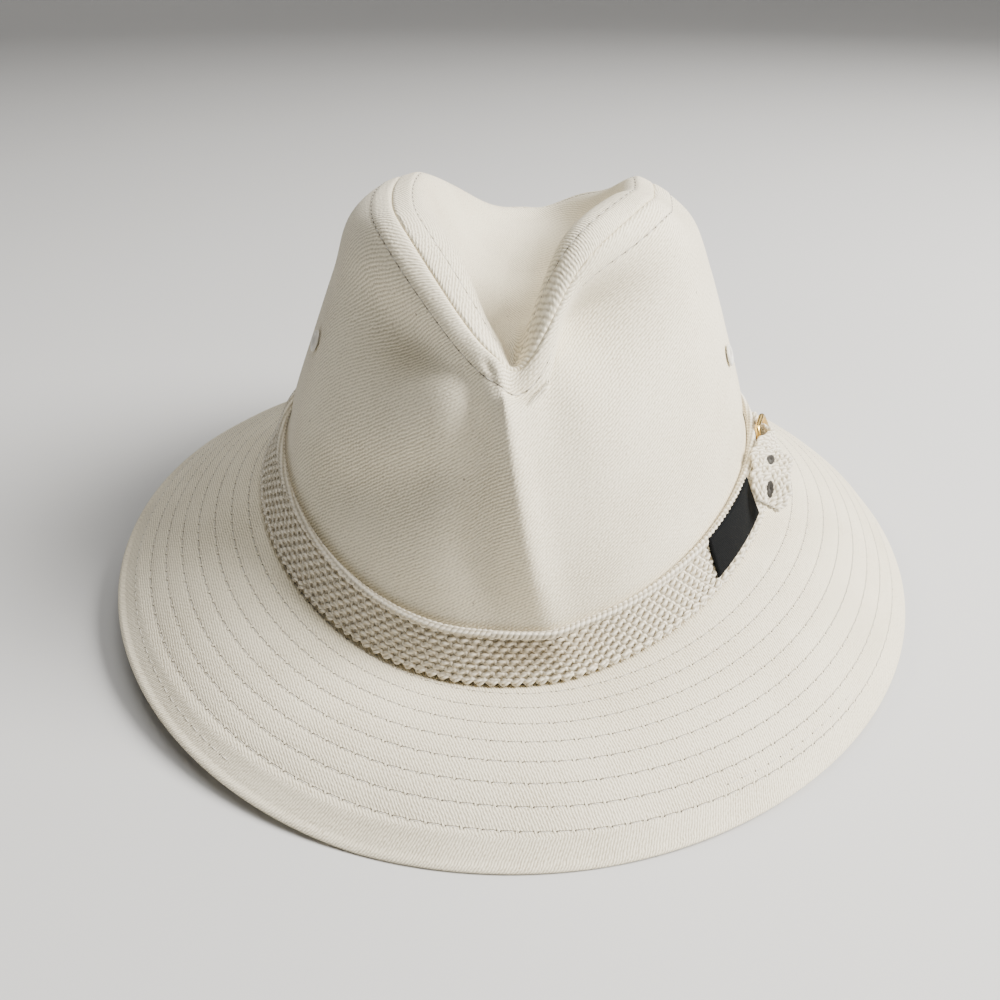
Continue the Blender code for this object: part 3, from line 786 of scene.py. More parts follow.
@dataclass
class Thread:
    """The sewing thread and its needle holes, shared by the brim and the crown."""

    stitching: Stitching = field(default_factory=Stitching)
    sides: int = 5
    taper: tuple[float, ...] = (0.55, 0.95, 1.0, 0.95, 0.55)

    def __post_init__(self) -> None:
        """Make the two finishes once."""
        self.cotton = YarnFinish("sewing_thread", (0.80, 0.76, 0.66), (0.56, 0.51, 0.42),
                                 0.5 * MM, 0.06 * MM).material()
        self.shadow = YarnFinish("needle_shadow", (0.11, 0.09, 0.07), (0.06, 0.05, 0.04),
                                 0.5 * MM, 0.02 * MM).material()

    def sew(self, name: str, lines: Sequence[Line]) -> None:
        """Sew stitches along lines, each a pair of points and normals, as one piece of thread."""
        stitching = self.stitching
        radii = stitching.thread * np.array(self.taper)
        for title, run, size, look in ((name, stitching.along, radii, self.cotton),
                                       (name + "_holes", stitching.holes, stitching.hole, self.shadow)):
            centres, normals = (np.concatenate(values) for values in zip(*(run(*line) for line in lines)))
            dress(tubes(title, centres, normals, size, self.sides), look, "twill")


@dataclass
class Crown:
    """The crown's side wall and its dented tip, with the sewn seam between them.

    allowance says where the turned edges under the seam end, seam_gap keeps the tip clear of
    the wall, foot is how far the wall reaches below the hem, and cutter is the length of the
    tool that pierces the wall.
    """

    form: CrownForm
    thread: Thread
    columns: int = 480
    fine_step: float = 0.045
    coarse_step: float = 0.075
    fine_span: float = 0.7
    inner_rows: int = 12
    stitch_offset: float = 6.5 * MM
    allowance_rise: float = 0.35 * MM
    groove_depth: float = 0.28 * MM
    groove_width: float = 0.7 * MM
    seam_depth: float = 0.20 * MM
    seam_width: float = 0.45 * MM
    allowance: tuple[float, float] = (5.6 * MM, 8.2 * MM)
    seam_gap: float = 0.08 * MM
    foot: float = 2.4 * MM
    tip_step: float = 0.1
    tip_lean: float = -62.0
    cutter: float = 10.0 * MM
    cone_share: float = 0.35
    twill_lean: float = 32.0

    def __post_init__(self) -> None:
        """Set the columns round the oval."""
        self.azimuth = np.linspace(-math.pi, math.pi, self.columns + 1)

    def sheet(self, levels: Array, offset: float = 0.0) -> Sheet:
        """Return the crown's surface at some levels, as a sheet."""
        level, azimuth = mesh(levels, self.azimuth)
        normals = self.form.normals(self.form.outer, azimuth, level)
        points = self.form.outer(azimuth, level) + offset * normals
        shape = (len(levels), len(self.azimuth), 3)
        return Sheet.through(points.reshape(shape), normals.reshape(shape))

    def seam_relief(self, distance: Array) -> Array:
        """Return the cloth's rise over the seam's turned edges, at a distance from the seam."""
        rise = self.allowance_rise * (1.0 - smooth_step(distance, *self.allowance))
        groove = self.groove_depth * np.exp(-((distance - self.stitch_offset) / self.groove_width) ** 2)
        seam = (self.seam_depth + self.allowance_rise) * np.exp(-(distance / self.seam_width) ** 2)
        return rise - groove - seam

    def crease_relief(self, points: Array) -> Array:
        """Return the depth of the sharp creases at some points."""
        relief = np.zeros(points.shape[:-1])
        for crease in CREASES:
            share = np.linspace(0.0, 1.0, 24)
            azimuth = np.radians(crease.start[0] + share * (crease.end[0] - crease.start[0]))
            level = crease.start[1] + share * (crease.end[1] - crease.start[1])
            line = self.form.outer(azimuth, level)
            fade = np.sin(math.pi * np.clip(share, 0.04, 0.96)) ** 0.5
            away = np.linalg.norm(points[..., None, :] - line, axis=-1)
            near = np.argmin(away, axis=-1)
            nearest = np.take_along_axis(away, near[..., None], -1)[..., 0]
            relief -= crease.depth * fade[near] * np.exp(-(nearest / crease.width) ** 2)
        return relief

    def side_levels(self) -> Array:
        """Return the side wall's levels, closer together towards the seam."""
        turn = SEAM - self.fine_span
        coarse = np.arange(HEM, turn, self.coarse_step)
        return np.concatenate((coarse, np.arange(turn, SEAM, self.fine_step), [SEAM]))

    def tip_levels(self) -> Array:
        """Return the tip's levels, closer together towards the seam."""
        turn = SEAM + self.fine_span
        coarse = np.arange(turn, CREASE, self.tip_step)
        return np.concatenate((np.arange(SEAM, turn, self.fine_step), coarse, [CREASE]))

    def cut_cloth(self, sheet: Sheet) -> Array:
        """Return the side wall's flat pattern: a part of a ring, as a cone unrolls."""
        radius = math.sqrt(self.form.half_width * self.form.half_length) / self.cone_share
        reach = radius - sheet.arcs
        turn = self.cone_share * self.azimuth
        return np.stack((reach * np.sin(turn), -reach * np.cos(turn)), -1)

    def build_side(self) -> Sheet:
        """Build the side wall and return its outer surface, measured from the seam down."""
        levels = self.side_levels()
        outer = self.sheet(levels)
        down = outer.arcs[-1] - outer.arcs
        outer = outer.raised(self.seam_relief(down) + self.crease_relief(outer.points))
        inner_levels = np.linspace(SEAM, HEM, self.inner_rows)
        inner = self.sheet(inner_levels, -self.form.cloth).points
        foot = np.array((0.0, 0.0, -self.foot))
        rings = np.concatenate((outer.points[:1] + foot, outer.points, inner, inner[-1:] + foot))
        cloth = self.cut_cloth(outer)
        inner_cloth = cloth[np.linspace(len(levels) - 1, 0, self.inner_rows).astype(int)]
        cloth = np.concatenate((cloth[:1], cloth, inner_cloth, inner_cloth[-1:]))
        rows = self.seam_rows(down)
        rows = np.concatenate((rows[:1], rows, np.full((self.inner_rows + 1, *rows.shape[1:]), 1.0)))
        piece = loft("crown_side_cloth", rings, {Layer.CLOTH: cloth, Layer.ROWS: rows}, closed=True)
        finish = TwillFinish("side_twill", self.twill_lean, self.sewn_rows())
        dress(piece, finish.material(), "twill", "crown_side")
        self.piece = piece
        return Sheet(outer.points[::-1], outer.normals[::-1], down[::-1])

    def build_tip(self) -> Sheet:
        """Build the dented tip and return its outer surface, measured from the seam."""
        levels = self.tip_levels()
        outer = self.sheet(levels)
        outer = outer.raised(self.seam_relief(outer.arcs) + self.crease_relief(outer.points))
        outer.points[0] += self.seam_gap * unit(outer.points[1] - outer.points[0])
        inner = self.sheet(np.linspace(CREASE, SEAM, self.inner_rows), -self.form.cloth).points
        inner[-1] += self.seam_gap * unit(inner[-2] - inner[-1])
        rings = np.concatenate((inner, outer.points))
        crease, seam = outer.points[-1, :, :2], outer.points[0, :, :2]
        reach = outer.arcs[-1] - outer.arcs
        cloth = crease + reach[..., None] * unit(seam - crease)
        cloth = np.concatenate((cloth[np.linspace(len(levels) - 1, 0, self.inner_rows).astype(int)], cloth))
        inside = np.full((self.inner_rows, *cloth.shape[1:]), 1.0)
        rows = np.concatenate((inside, self.seam_rows(outer.arcs)))
        piece = loft("crown_tip_cloth", rings, {Layer.CLOTH: cloth, Layer.ROWS: rows}, closed=False)
        finish = TwillFinish("tip_twill", self.tip_lean, self.sewn_rows())
        dress(piece, finish.material(), "twill", "crown_tip")
        return outer

    def seam_rows(self, distance: Array) -> Array:
        """Return the ROWS layer's values at a distance from the seam."""
        return np.stack((np.full_like(distance, 0.5), distance), -1)

    def sewn_rows(self) -> SewnRows:
        """Return the one sewn row that runs beside the seam."""
        return SewnRows(self.stitch_offset, 4.0 * self.stitch_offset, 1)

    def build(self) -> None:
        """Build both pieces and the topstitching on each side of their seam."""
        side = self.build_side()
        tip = self.build_tip()
        self.thread.sew("crown_topstitch", [sheet.row_at(self.stitch_offset) for sheet in (side, tip)])

    def pierce(self, centre: Vector, direction: Vector, radius: float) -> None:
        """Cut a round hole through the side wall."""
        bpy.ops.mesh.primitive_cylinder_add(vertices=32, radius=radius, depth=self.cutter, location=centre,
                                            rotation=direction.to_track_quat("Z", "Y").to_euler())
        cutter = bpy.context.object
        boolean = self.piece.modifiers.new("hole", "BOOLEAN")
        boolean.operation = "DIFFERENCE"
        boolean.object = cutter
        evaluated = self.piece.evaluated_get(bpy.context.evaluated_depsgraph_get())
        cut = bpy.data.meshes.new_from_object(evaluated)
        self.piece.modifiers.remove(boolean)
        self.piece.data = cut
        bpy.data.objects.remove(cutter, do_unlink=True)


@dataclass
class Brim:
    """The stitched brim, with its turned-down edge."""

    form: CrownForm
    thread: Thread
    columns: int = 720
    rows: int = 74
    under_rows: int = 20
    fine_rows: int = 240
    reach: float = 53.0 * MM
    side_reach: float = 51.4 * MM
    cloth: float = 2.4 * MM
    lift_right: float = 4.0 * MM
    lift_left: float = 12.4 * MM
    inner_slope_front: float = -8.0
    inner_slope_side: float = 18.0
    outer_slope: float = 46.0
    outer_twist: float = 10.0
    inner_pull: float = 0.38
    outer_pull: float = 0.34
    rest_share: float = 0.2
    lift_power: float = 1.2
    edge_margin: float = 2.7 * MM
    first_row: float = 3.6 * MM
    row_spacing: float = 6.1 * MM
    row_count: int = 8
    drift_right: float = 5.7 * MM
    drift_left: float = 2.6 * MM
    groove_depth: float = 0.26 * MM
    groove_width: float = 0.75 * MM
    beside: float = 0.12 * MM
    stretches: tuple[tuple[float, float, float], ...] = ((-150.0, -28.0, 8.0), (27.0, 50.0, 6.62))
    strip: float = 9.0 * MM
    crest_rise: float = 0.30 * MM
    crest_width: float = 1.8 * MM
    twill_lean: float = -64.0
    twill_pitch: float = 0.78 * MM
    twill_depth: float = 0.17 * MM
    strip_lap: float = 0.4 * MM
    edge_cloth: tuple[float, float] = (0.4 * MM, 5.5 * MM)
    edge_points: tuple[tuple[float, float], ...] = (
        (-0.50, 0.68), (-0.27, 0.53), (-0.08, 0.34), (0.0, 0.19), (-0.07, 0.06), (-0.25, 0.0), (-1.20, 0.0))

    def __post_init__(self) -> None:
        """Set the columns, and the foot and direction of each."""
        self.azimuth = np.linspace(-math.pi, math.pi, self.columns + 1)
        foot = self.form.ring_points(RINGS[0], self.azimuth)
        self.foot = np.stack((foot[:, 0], foot[:, 1], np.zeros(len(foot))), -1)
        out = np.stack((self.form.half_length * np.sin(self.azimuth),
                        -self.form.half_width * np.cos(self.azimuth), np.zeros(len(foot))), -1)
        self.out = unit(out)

    def edge_height(self) -> Array:
        """Return the height of the edge, which lies flat at the front and the back."""
        sine = np.sin(self.azimuth)
        rise = np.maximum(np.abs(sine) - self.rest_share, 0.0) / (1.0 - self.rest_share)
        return np.where(sine > 0.0, self.lift_right, self.lift_left) * rise ** self.lift_power

    def edge_place(self) -> Array:
        """Return the (reach, height) at which the top curve ends, in each column."""
        reach = self.reach + (self.side_reach - self.reach) * np.sin(self.azimuth) ** 2
        return np.stack((reach, self.edge_height()), -1)

    def profile(self, share: Array) -> Line:
        """Return the top curve's (reach, height) and slope at some shares, for each column."""
        side = np.sin(self.azimuth) ** 2
        end = self.edge_place()
        reach = end[:, 0]
        inner = np.radians(self.inner_slope_front + (self.inner_slope_side - self.inner_slope_front) * side)
        outer = np.radians(self.outer_slope + self.outer_twist * np.sin(self.azimuth))
        start = np.stack((np.full_like(reach, GAP), self.form.hem_height(self.azimuth)), -1)
        leave = np.stack((np.cos(inner), -np.sin(inner)), -1)
        arrive = np.stack((np.cos(outer), -np.sin(outer)), -1)
        start_pull = start + self.inner_pull * reach[:, None] * leave
        end_pull = end - self.outer_pull * reach[:, None] * arrive
        share = share[:, None, None]
        rest = 1.0 - share
        place = (rest ** 3 * start + 3 * rest ** 2 * share * start_pull
                 + 3 * rest * share ** 2 * end_pull + share ** 3 * end)
        slope = (rest ** 2 * (start_pull - start) + 2 * rest * share * (end_pull - start_pull)
                 + share ** 2 * (end - end_pull))
        return place, np.arctan2(-slope[..., 1], slope[..., 0])

    def world(self, place: Array) -> Array:
        """Return points in the hat's frame from (reach, height) for each column."""
        return self.foot + self.out * place[..., :1] + place[..., 1:] * UP

    def top_sheet(self, rows: int) -> tuple[Sheet, Array, Array]:
        """Return the smooth top surface in even rows, with its places and slopes.

        Args:
            rows: How many rows lie between the hem and the rounded edge.

        Returns:
            The sheet, each point's (reach, height) and its slope.
        """
        fine = np.linspace(0.0, 1.0, self.fine_rows)
        place, slope = self.profile(fine)
        arcs = running(place)
        self.width = arcs[-1]
        wanted = np.linspace(0.0, 1.0, rows)[:, None] * (self.width - self.edge_margin)
        share = np.stack([np.interp(wanted[:, column], arcs[:, column], fine)
                          for column in range(len(self.azimuth))], 1)
        index = np.clip((share * (len(fine) - 1)).astype(int), 0, len(fine) - 2)
        part = share * (len(fine) - 1) - index
        place, slope = between(place, index, part), between(slope, index, part)
        normals = self.out * np.sin(slope)[..., None] + np.cos(slope)[..., None] * UP
        return Sheet(self.world(place), normals, wanted), place, slope

    def drift(self) -> Array:
        """Return how far the sewn spiral has moved out, in each column."""
        sine = np.sin(self.azimuth)
        wider = np.where(sine > 0.0, self.drift_right, self.drift_left)
        return self.row_spacing * self.azimuth / TURN + wider * sine

    def row_distance(self, number: float) -> Array:
        """Return how far a turn of the sewn spiral lies from the hem, in each column."""
        return self.first_row + self.row_spacing * number + self.drift()

    def nearest_row(self, arcs: Array) -> Array:
        """Return the number of the row that is nearest to each place."""
        turn = (arcs - self.drift() - self.first_row) / self.row_spacing
        return np.clip(np.round(turn), 0, self.row_count - 1).astype(int)

    def relief(self, arcs: Array) -> Array:
        """Return the quilted relief: a groove at each sewn row and a soft crest near the edge."""
        distance = arcs - self.drift() - self.first_row - self.row_spacing * self.nearest_row(arcs)
        groove = self.groove_depth * np.exp(-(distance / self.groove_width) ** 2)
        crest = (arcs - (self.width - self.strip)) / self.crest_width
        return self.crest_rise * np.exp(-crest ** 2) - groove

    def cut_cloth(self, arcs: Array) -> Array:
        """Return the brim's flat pattern, as the whole cloth inside the edge strip is cut."""
        return self.foot[:, :2] + self.out[:, :2] * arcs[..., None]

    def strip_cloth(self, arcs: Array) -> Array:
        """Return the edge strip's flat pattern, along the edge and across it."""
        along = np.broadcast_to(self.azimuth * (self.form.half_length + self.reach), arcs.shape)
        return np.stack((along, arcs), -1)

    def build(self) -> None:
        """Build the brim, its edge strip and its rows of stitches."""
        top, _, _ = self.top_sheet(self.rows)
        top = top.raised(self.relief(top.arcs))
        under, under_place, slope = self.top_sheet(self.under_rows)
        shift = self.cloth * np.stack((np.sin(slope), np.cos(slope)), -1)
        under_points = self.world((under_place - shift)[:-1])
        _, end_slope = self.profile(np.array([1.0]))
        end = self.edge_place()
        edge = np.stack([self.world(end + self.cloth * np.array(point)) for point in self.edge_points])
        lines = [top.row_at(self.row_distance(number) + self.beside) for number in range(self.row_count)]
        self.build_body(top, under_points, under.arcs[:-1], edge, lines)
        self.build_rows(top, Sheet(under_points, -under.normals[:-1], under.arcs[:-1]), lines)
        log.info("brim slopes to %.1f degrees at its edge", math.degrees(float(end_slope.mean())))
        log.info("brim is %.1f to %.1f mm wide", self.width.min() / MM, self.width.max() / MM)

    def stitch_numbers(self, lines: Sequence[Line], arcs: Array) -> Array:
        """Return the count of stitches up to each place, along the row that is nearest to it."""
        counts = []
        for points, _ in lines:
            distance, count = self.thread.stitching.cut(points)
            counts.append(distance / distance[-1] * count)
        return np.stack(counts)[self.nearest_row(arcs), np.arange(arcs.shape[1])]

    def build_body(self, top: Sheet, under: Array, under_arcs: Array, edge: Array,
                   lines: Sequence[Line]) -> None:
        """Build the cloth of the brim from its surfaces and dress it."""
        rings = np.concatenate((under, edge[::-1], top.points[::-1]))
        edge_arcs = self.width - self.edge_margin + np.linspace(*self.edge_cloth, len(edge))[:, None]
        arcs = np.concatenate((under_arcs, edge_arcs[::-1], top.arcs[::-1]))
        rows = np.stack((self.stitch_numbers(lines, arcs), arcs - self.drift()), -1)
        cloth = self.cut_cloth(arcs)
        piece = loft("brim_cloth", rings, {Layer.CLOTH: cloth, Layer.ROWS: rows}, closed=True)
        self.turn_strip(piece, arcs)
        sewn = SewnRows(self.first_row, self.row_spacing, self.row_count)
        finish = TwillFinish("brim_twill", self.twill_lean, sewn, pitch=self.twill_pitch,
                             depth=self.twill_depth)
        dress(piece, finish.material(), "twill", "brim")

    def turn_strip(self, piece: Piece, arcs: Array) -> None:
        """Give the edge strip's faces the cloth that is cut the other way."""
        row, column = grid_corners(arcs.shape[0], self.columns, True)
        outside = (arcs[row, column] > (self.width - self.strip - self.strip_lap)[column]).all(axis=1)
        values = np.where(outside[:, None, None], self.strip_cloth(arcs)[row, column],
                          self.cut_cloth(arcs)[row, column])
        piece.data.uv_layers[Layer.CLOTH.value].data.foreach_set("uv", values.astype(np.float32).ravel())

    def build_rows(self, top: Sheet, under: Sheet, lines: Sequence[Line]) -> None:
        """Sew the spiral of stitches through the brim, and its short doubled stretches."""
        turns = list(lines)
        for low, high, number in self.stretches:
            chosen = (np.degrees(self.azimuth) > low) & (np.degrees(self.azimuth) < high)
            points, normals = top.row_at(self.row_distance(number))
            turns.append((points[chosen], normals[chosen]))
        self.thread.sew("brim_topstitch", turns)
        below = [under.row_at(self.row_distance(number)) for number in range(self.row_count)]
        self.thread.sew("brim_understitch", below)


@dataclass
class Knit:
    """The sizes of the coarse knitted cotton."""

    pitch: float = 3.8 * MM
    yarn: float = 0.74 * MM
    sway: float = 0.42 * MM
    swell: float = 0.34 * MM
    steps: int = 10
    sides: int = 6


@dataclass(frozen=True)
class YarnPath:
    """The way of one wavy yarn round the band.

    share is its mean height as a share of the band's, phase is the wave's phase in turns, sway
    and swell say how far it waves up and down and in and out, and depth is how deep its centre
    lies under the band's face.
    """

    share: float
    phase: float
    sway: float
    swell: float
    depth: float


@dataclass
class HatBand:
    """The knitted band round the foot of the crown.

    row_ends say, in rows, how high the first row of yarn lies and how much taller than its
    rows the band is. proud is how far the rows stand out of the band's face, and the backing
    lies backing_depth under that face.
    """

    form: CrownForm
    knit: Knit
    height: float = 16.4 * MM
    cloth: float = 2.2 * MM
    lift: float = 1.0 * MM
    rows: int = 8
    row_turn: float = 0.42
    edge_yarn: float = 0.85 * MM
    loop_yarn: float = 0.70 * MM
    upper: tuple[YarnPath, ...] = (YarnPath(0.955, 0.0, 0.50 * MM, 0.45 * MM, 0.60 * MM),
                                   YarnPath(0.955, 0.5, 0.50 * MM, 0.45 * MM, 0.60 * MM))
    loops: tuple[YarnPath, ...] = (YarnPath(0.03, 0.75, 0.62 * MM, 0.30 * MM, 0.65 * MM),)
    row_ends: tuple[float, float] = (0.62, 0.35)
    proud: float = 0.05 * MM
    backing_edge: float = 0.03
    backing_depth: float = 0.9 * MM
    # The next two fields place the painted shade on the band's upper front: its middle and its spread, in
    # azimuth degrees and shares of the band's height.
    shade_centre: tuple[float, float] = (5.0, 0.66)
    shade_spread: tuple[float, float] = (13.0, 0.34)

    def level(self, height: Array) -> Array:
        """Return the crown level at a height above the hem, inside the band's stretch."""
        return height / (RINGS[1].height * self.form.height)

    def point(self, azimuth: Array, share: Array | float, offset: Array | float) -> Array:
        """Return points at shares of the band's height and offsets from its face."""
        level = self.level(self.lift + self.height * np.asarray(share, float))
        return self.form.place(azimuth, np.clip(level, HEM, None), GAP + self.cloth + offset)

    def stitches(self) -> int:
        """Return how many knitted stitches go round the band."""
        radius = math.sqrt(self.form.half_width * self.form.half_length)
        return round(TURN * radius / self.knit.pitch)

    def yarn_row(self, path: YarnPath) -> Line:
        """Return the points and normals of one yarn's centre line round the band."""
        count = self.stitches() * self.knit.steps
        azimuth = TURN * np.arange(count) / count
        wave = TURN * (np.arange(count) / self.knit.steps + path.phase)
        shares = path.share + path.sway * np.sin(wave) / self.height
        offset = -path.depth + path.swell * np.cos(wave)
        points = self.point(azimuth, shares, offset)
        return points, unit(points - self.point(azimuth, shares, offset - MM))

    def mark_painted_shade(self, piece: Piece) -> None:
        """Mark a painted shade on the knit's upper front, where the band lies in shade, as an attribute of
        the piece.
        """
        count = len(piece.data.vertices)
        spots = np.empty(3 * count, np.float32)
        piece.data.vertices.foreach_get("co", spots)
        spots = spots.reshape(-1, 3)
        azimuth = np.degrees(np.arctan2(spots[:, 0], -spots[:, 1]))
        height = (spots[:, 2] - self.form.hem_height(np.radians(azimuth)) - self.lift) / self.height
        spread = ((azimuth - self.shade_centre[0]) / self.shade_spread[0]) ** 2
        spread += ((height - self.shade_centre[1]) / self.shade_spread[1]) ** 2
        painted_shade = piece.data.attributes.new("painted_shade", "FLOAT", "POINT")
        painted_shade.data.foreach_set("value", np.exp(-spread).astype(np.float32))

    def build(self, yarn: Material) -> None:
        """Build the backing, the knitted rows and both edges."""
        azimuth = np.linspace(-math.pi, math.pi, 241)
        low, high = self.backing_edge, 1.0 - self.backing_edge
        section = ((low, -self.cloth), (low, -self.backing_depth), (0.5, -self.backing_depth),
                   (high, -self.backing_depth), (high, -self.cloth))
        rings = np.stack([self.point(azimuth, share, offset) for share, offset in section])
        flat = np.stack((np.broadcast_to(azimuth * self.form.half_length, rings.shape[:2]),
                         rings[..., 2]), -1)
        backing = loft("band_backing", rings, {Layer.YARN: flat}, closed=True)
        self.mark_painted_shade(backing)
        dress(backing, yarn, "knit", "hat_band")
        foot, ends = self.row_ends
        body = [YarnPath((row + foot) / (self.rows + ends), self.row_turn * row, self.knit.sway,
                         self.knit.swell, self.knit.yarn - self.proud) for row in range(self.rows)]
        for name, paths, radius in (("band_knit_rows", body, self.knit.yarn),
                                    ("band_upper_braid", self.upper, self.edge_yarn),
                                    ("band_lower_loops", self.loops, self.loop_yarn)):
            self.build_yarns(name, paths, radius, yarn)

    def build_yarns(self, name: str, paths: Sequence[YarnPath], radius: float,
                    yarn: Material) -> None:
        """Build one piece of the yarns that run along some paths, and dress it."""
        lines, normals = (np.stack(values) for values in zip(*(self.yarn_row(path) for path in paths)))
        piece = tubes(name, lines, normals, radius, self.knit.sides, closed=True)
        self.mark_painted_shade(piece)
        dress(piece, yarn, "knit")


@dataclass
class Label:
    """The bare black label sewn on the band."""

    band: HatBand
    start: float = 48.0
    length: float = 31.0 * MM
    height: float = 13.0 * MM
    middle: float = 0.60
    cloth: float = 0.9 * MM
    columns: int = 60
    rows: int = 24
    belly: float = 0.35 * MM
    rounding: float = 0.6 * MM

    def turn(self) -> float:
        """Return the label's length as a turn in degrees."""
        return math.degrees(self.length / self.band.form.mean_radius())

    def build(self) -> None:
        """Build the label as one thin closed cushion of cloth with rounded edges."""
        across, along = np.meshgrid(np.linspace(0.0, 1.0, self.rows), np.linspace(0.0, 1.0, self.columns),
                                    indexing="ij")
        azimuth = np.radians(self.start + self.turn() * along)
        share = self.middle + (across - 0.5) * self.height / self.band.height
        edge = np.minimum(np.minimum(across, 1.0 - across) * self.height,
                          np.minimum(along, 1.0 - along) * self.length)
        crown = np.sqrt(np.clip(edge / self.rounding, 0.0, 1.0))
        belly = self.belly * np.sin(math.pi * along) * np.sin(math.pi * across)
        outer = 2.0 * GAP + 0.55 * self.cloth * crown + belly
        shape = (self.rows, self.columns, 3)
        points = np.stack([self.band.point(azimuth.ravel(), share.ravel(), offset.ravel()).reshape(shape)
                           for offset in (outer, np.full(outer.shape, 0.5 * GAP))])
        index = np.arange(self.rows * self.columns).reshape(self.rows, self.columns)
        quads = patch_corners(index).reshape(-1, 4)
        size = index.size
        faces = quads.tolist() + (quads[:, ::-1] + size).tolist()
        rim = np.concatenate((index[0], index[1:, -1], index[-1, -2::-1], index[-2:0:-1, 0]))
        for place, after in zip(rim, np.roll(rim, -1)):
            faces.append([int(after), int(place), int(place) + size, int(after) + size])
        piece = new_piece("label_patch", points, faces)
        flat = np.stack((along * self.length, across * self.height), -1).reshape(-1, 2)
        corners = np.array([vertex % size for face in faces for vertex in face])
        add_layer(piece, Layer.CLOTH, flat[corners])
        dress(piece, LabelFinish().material(), "label_cloth", "band_label")


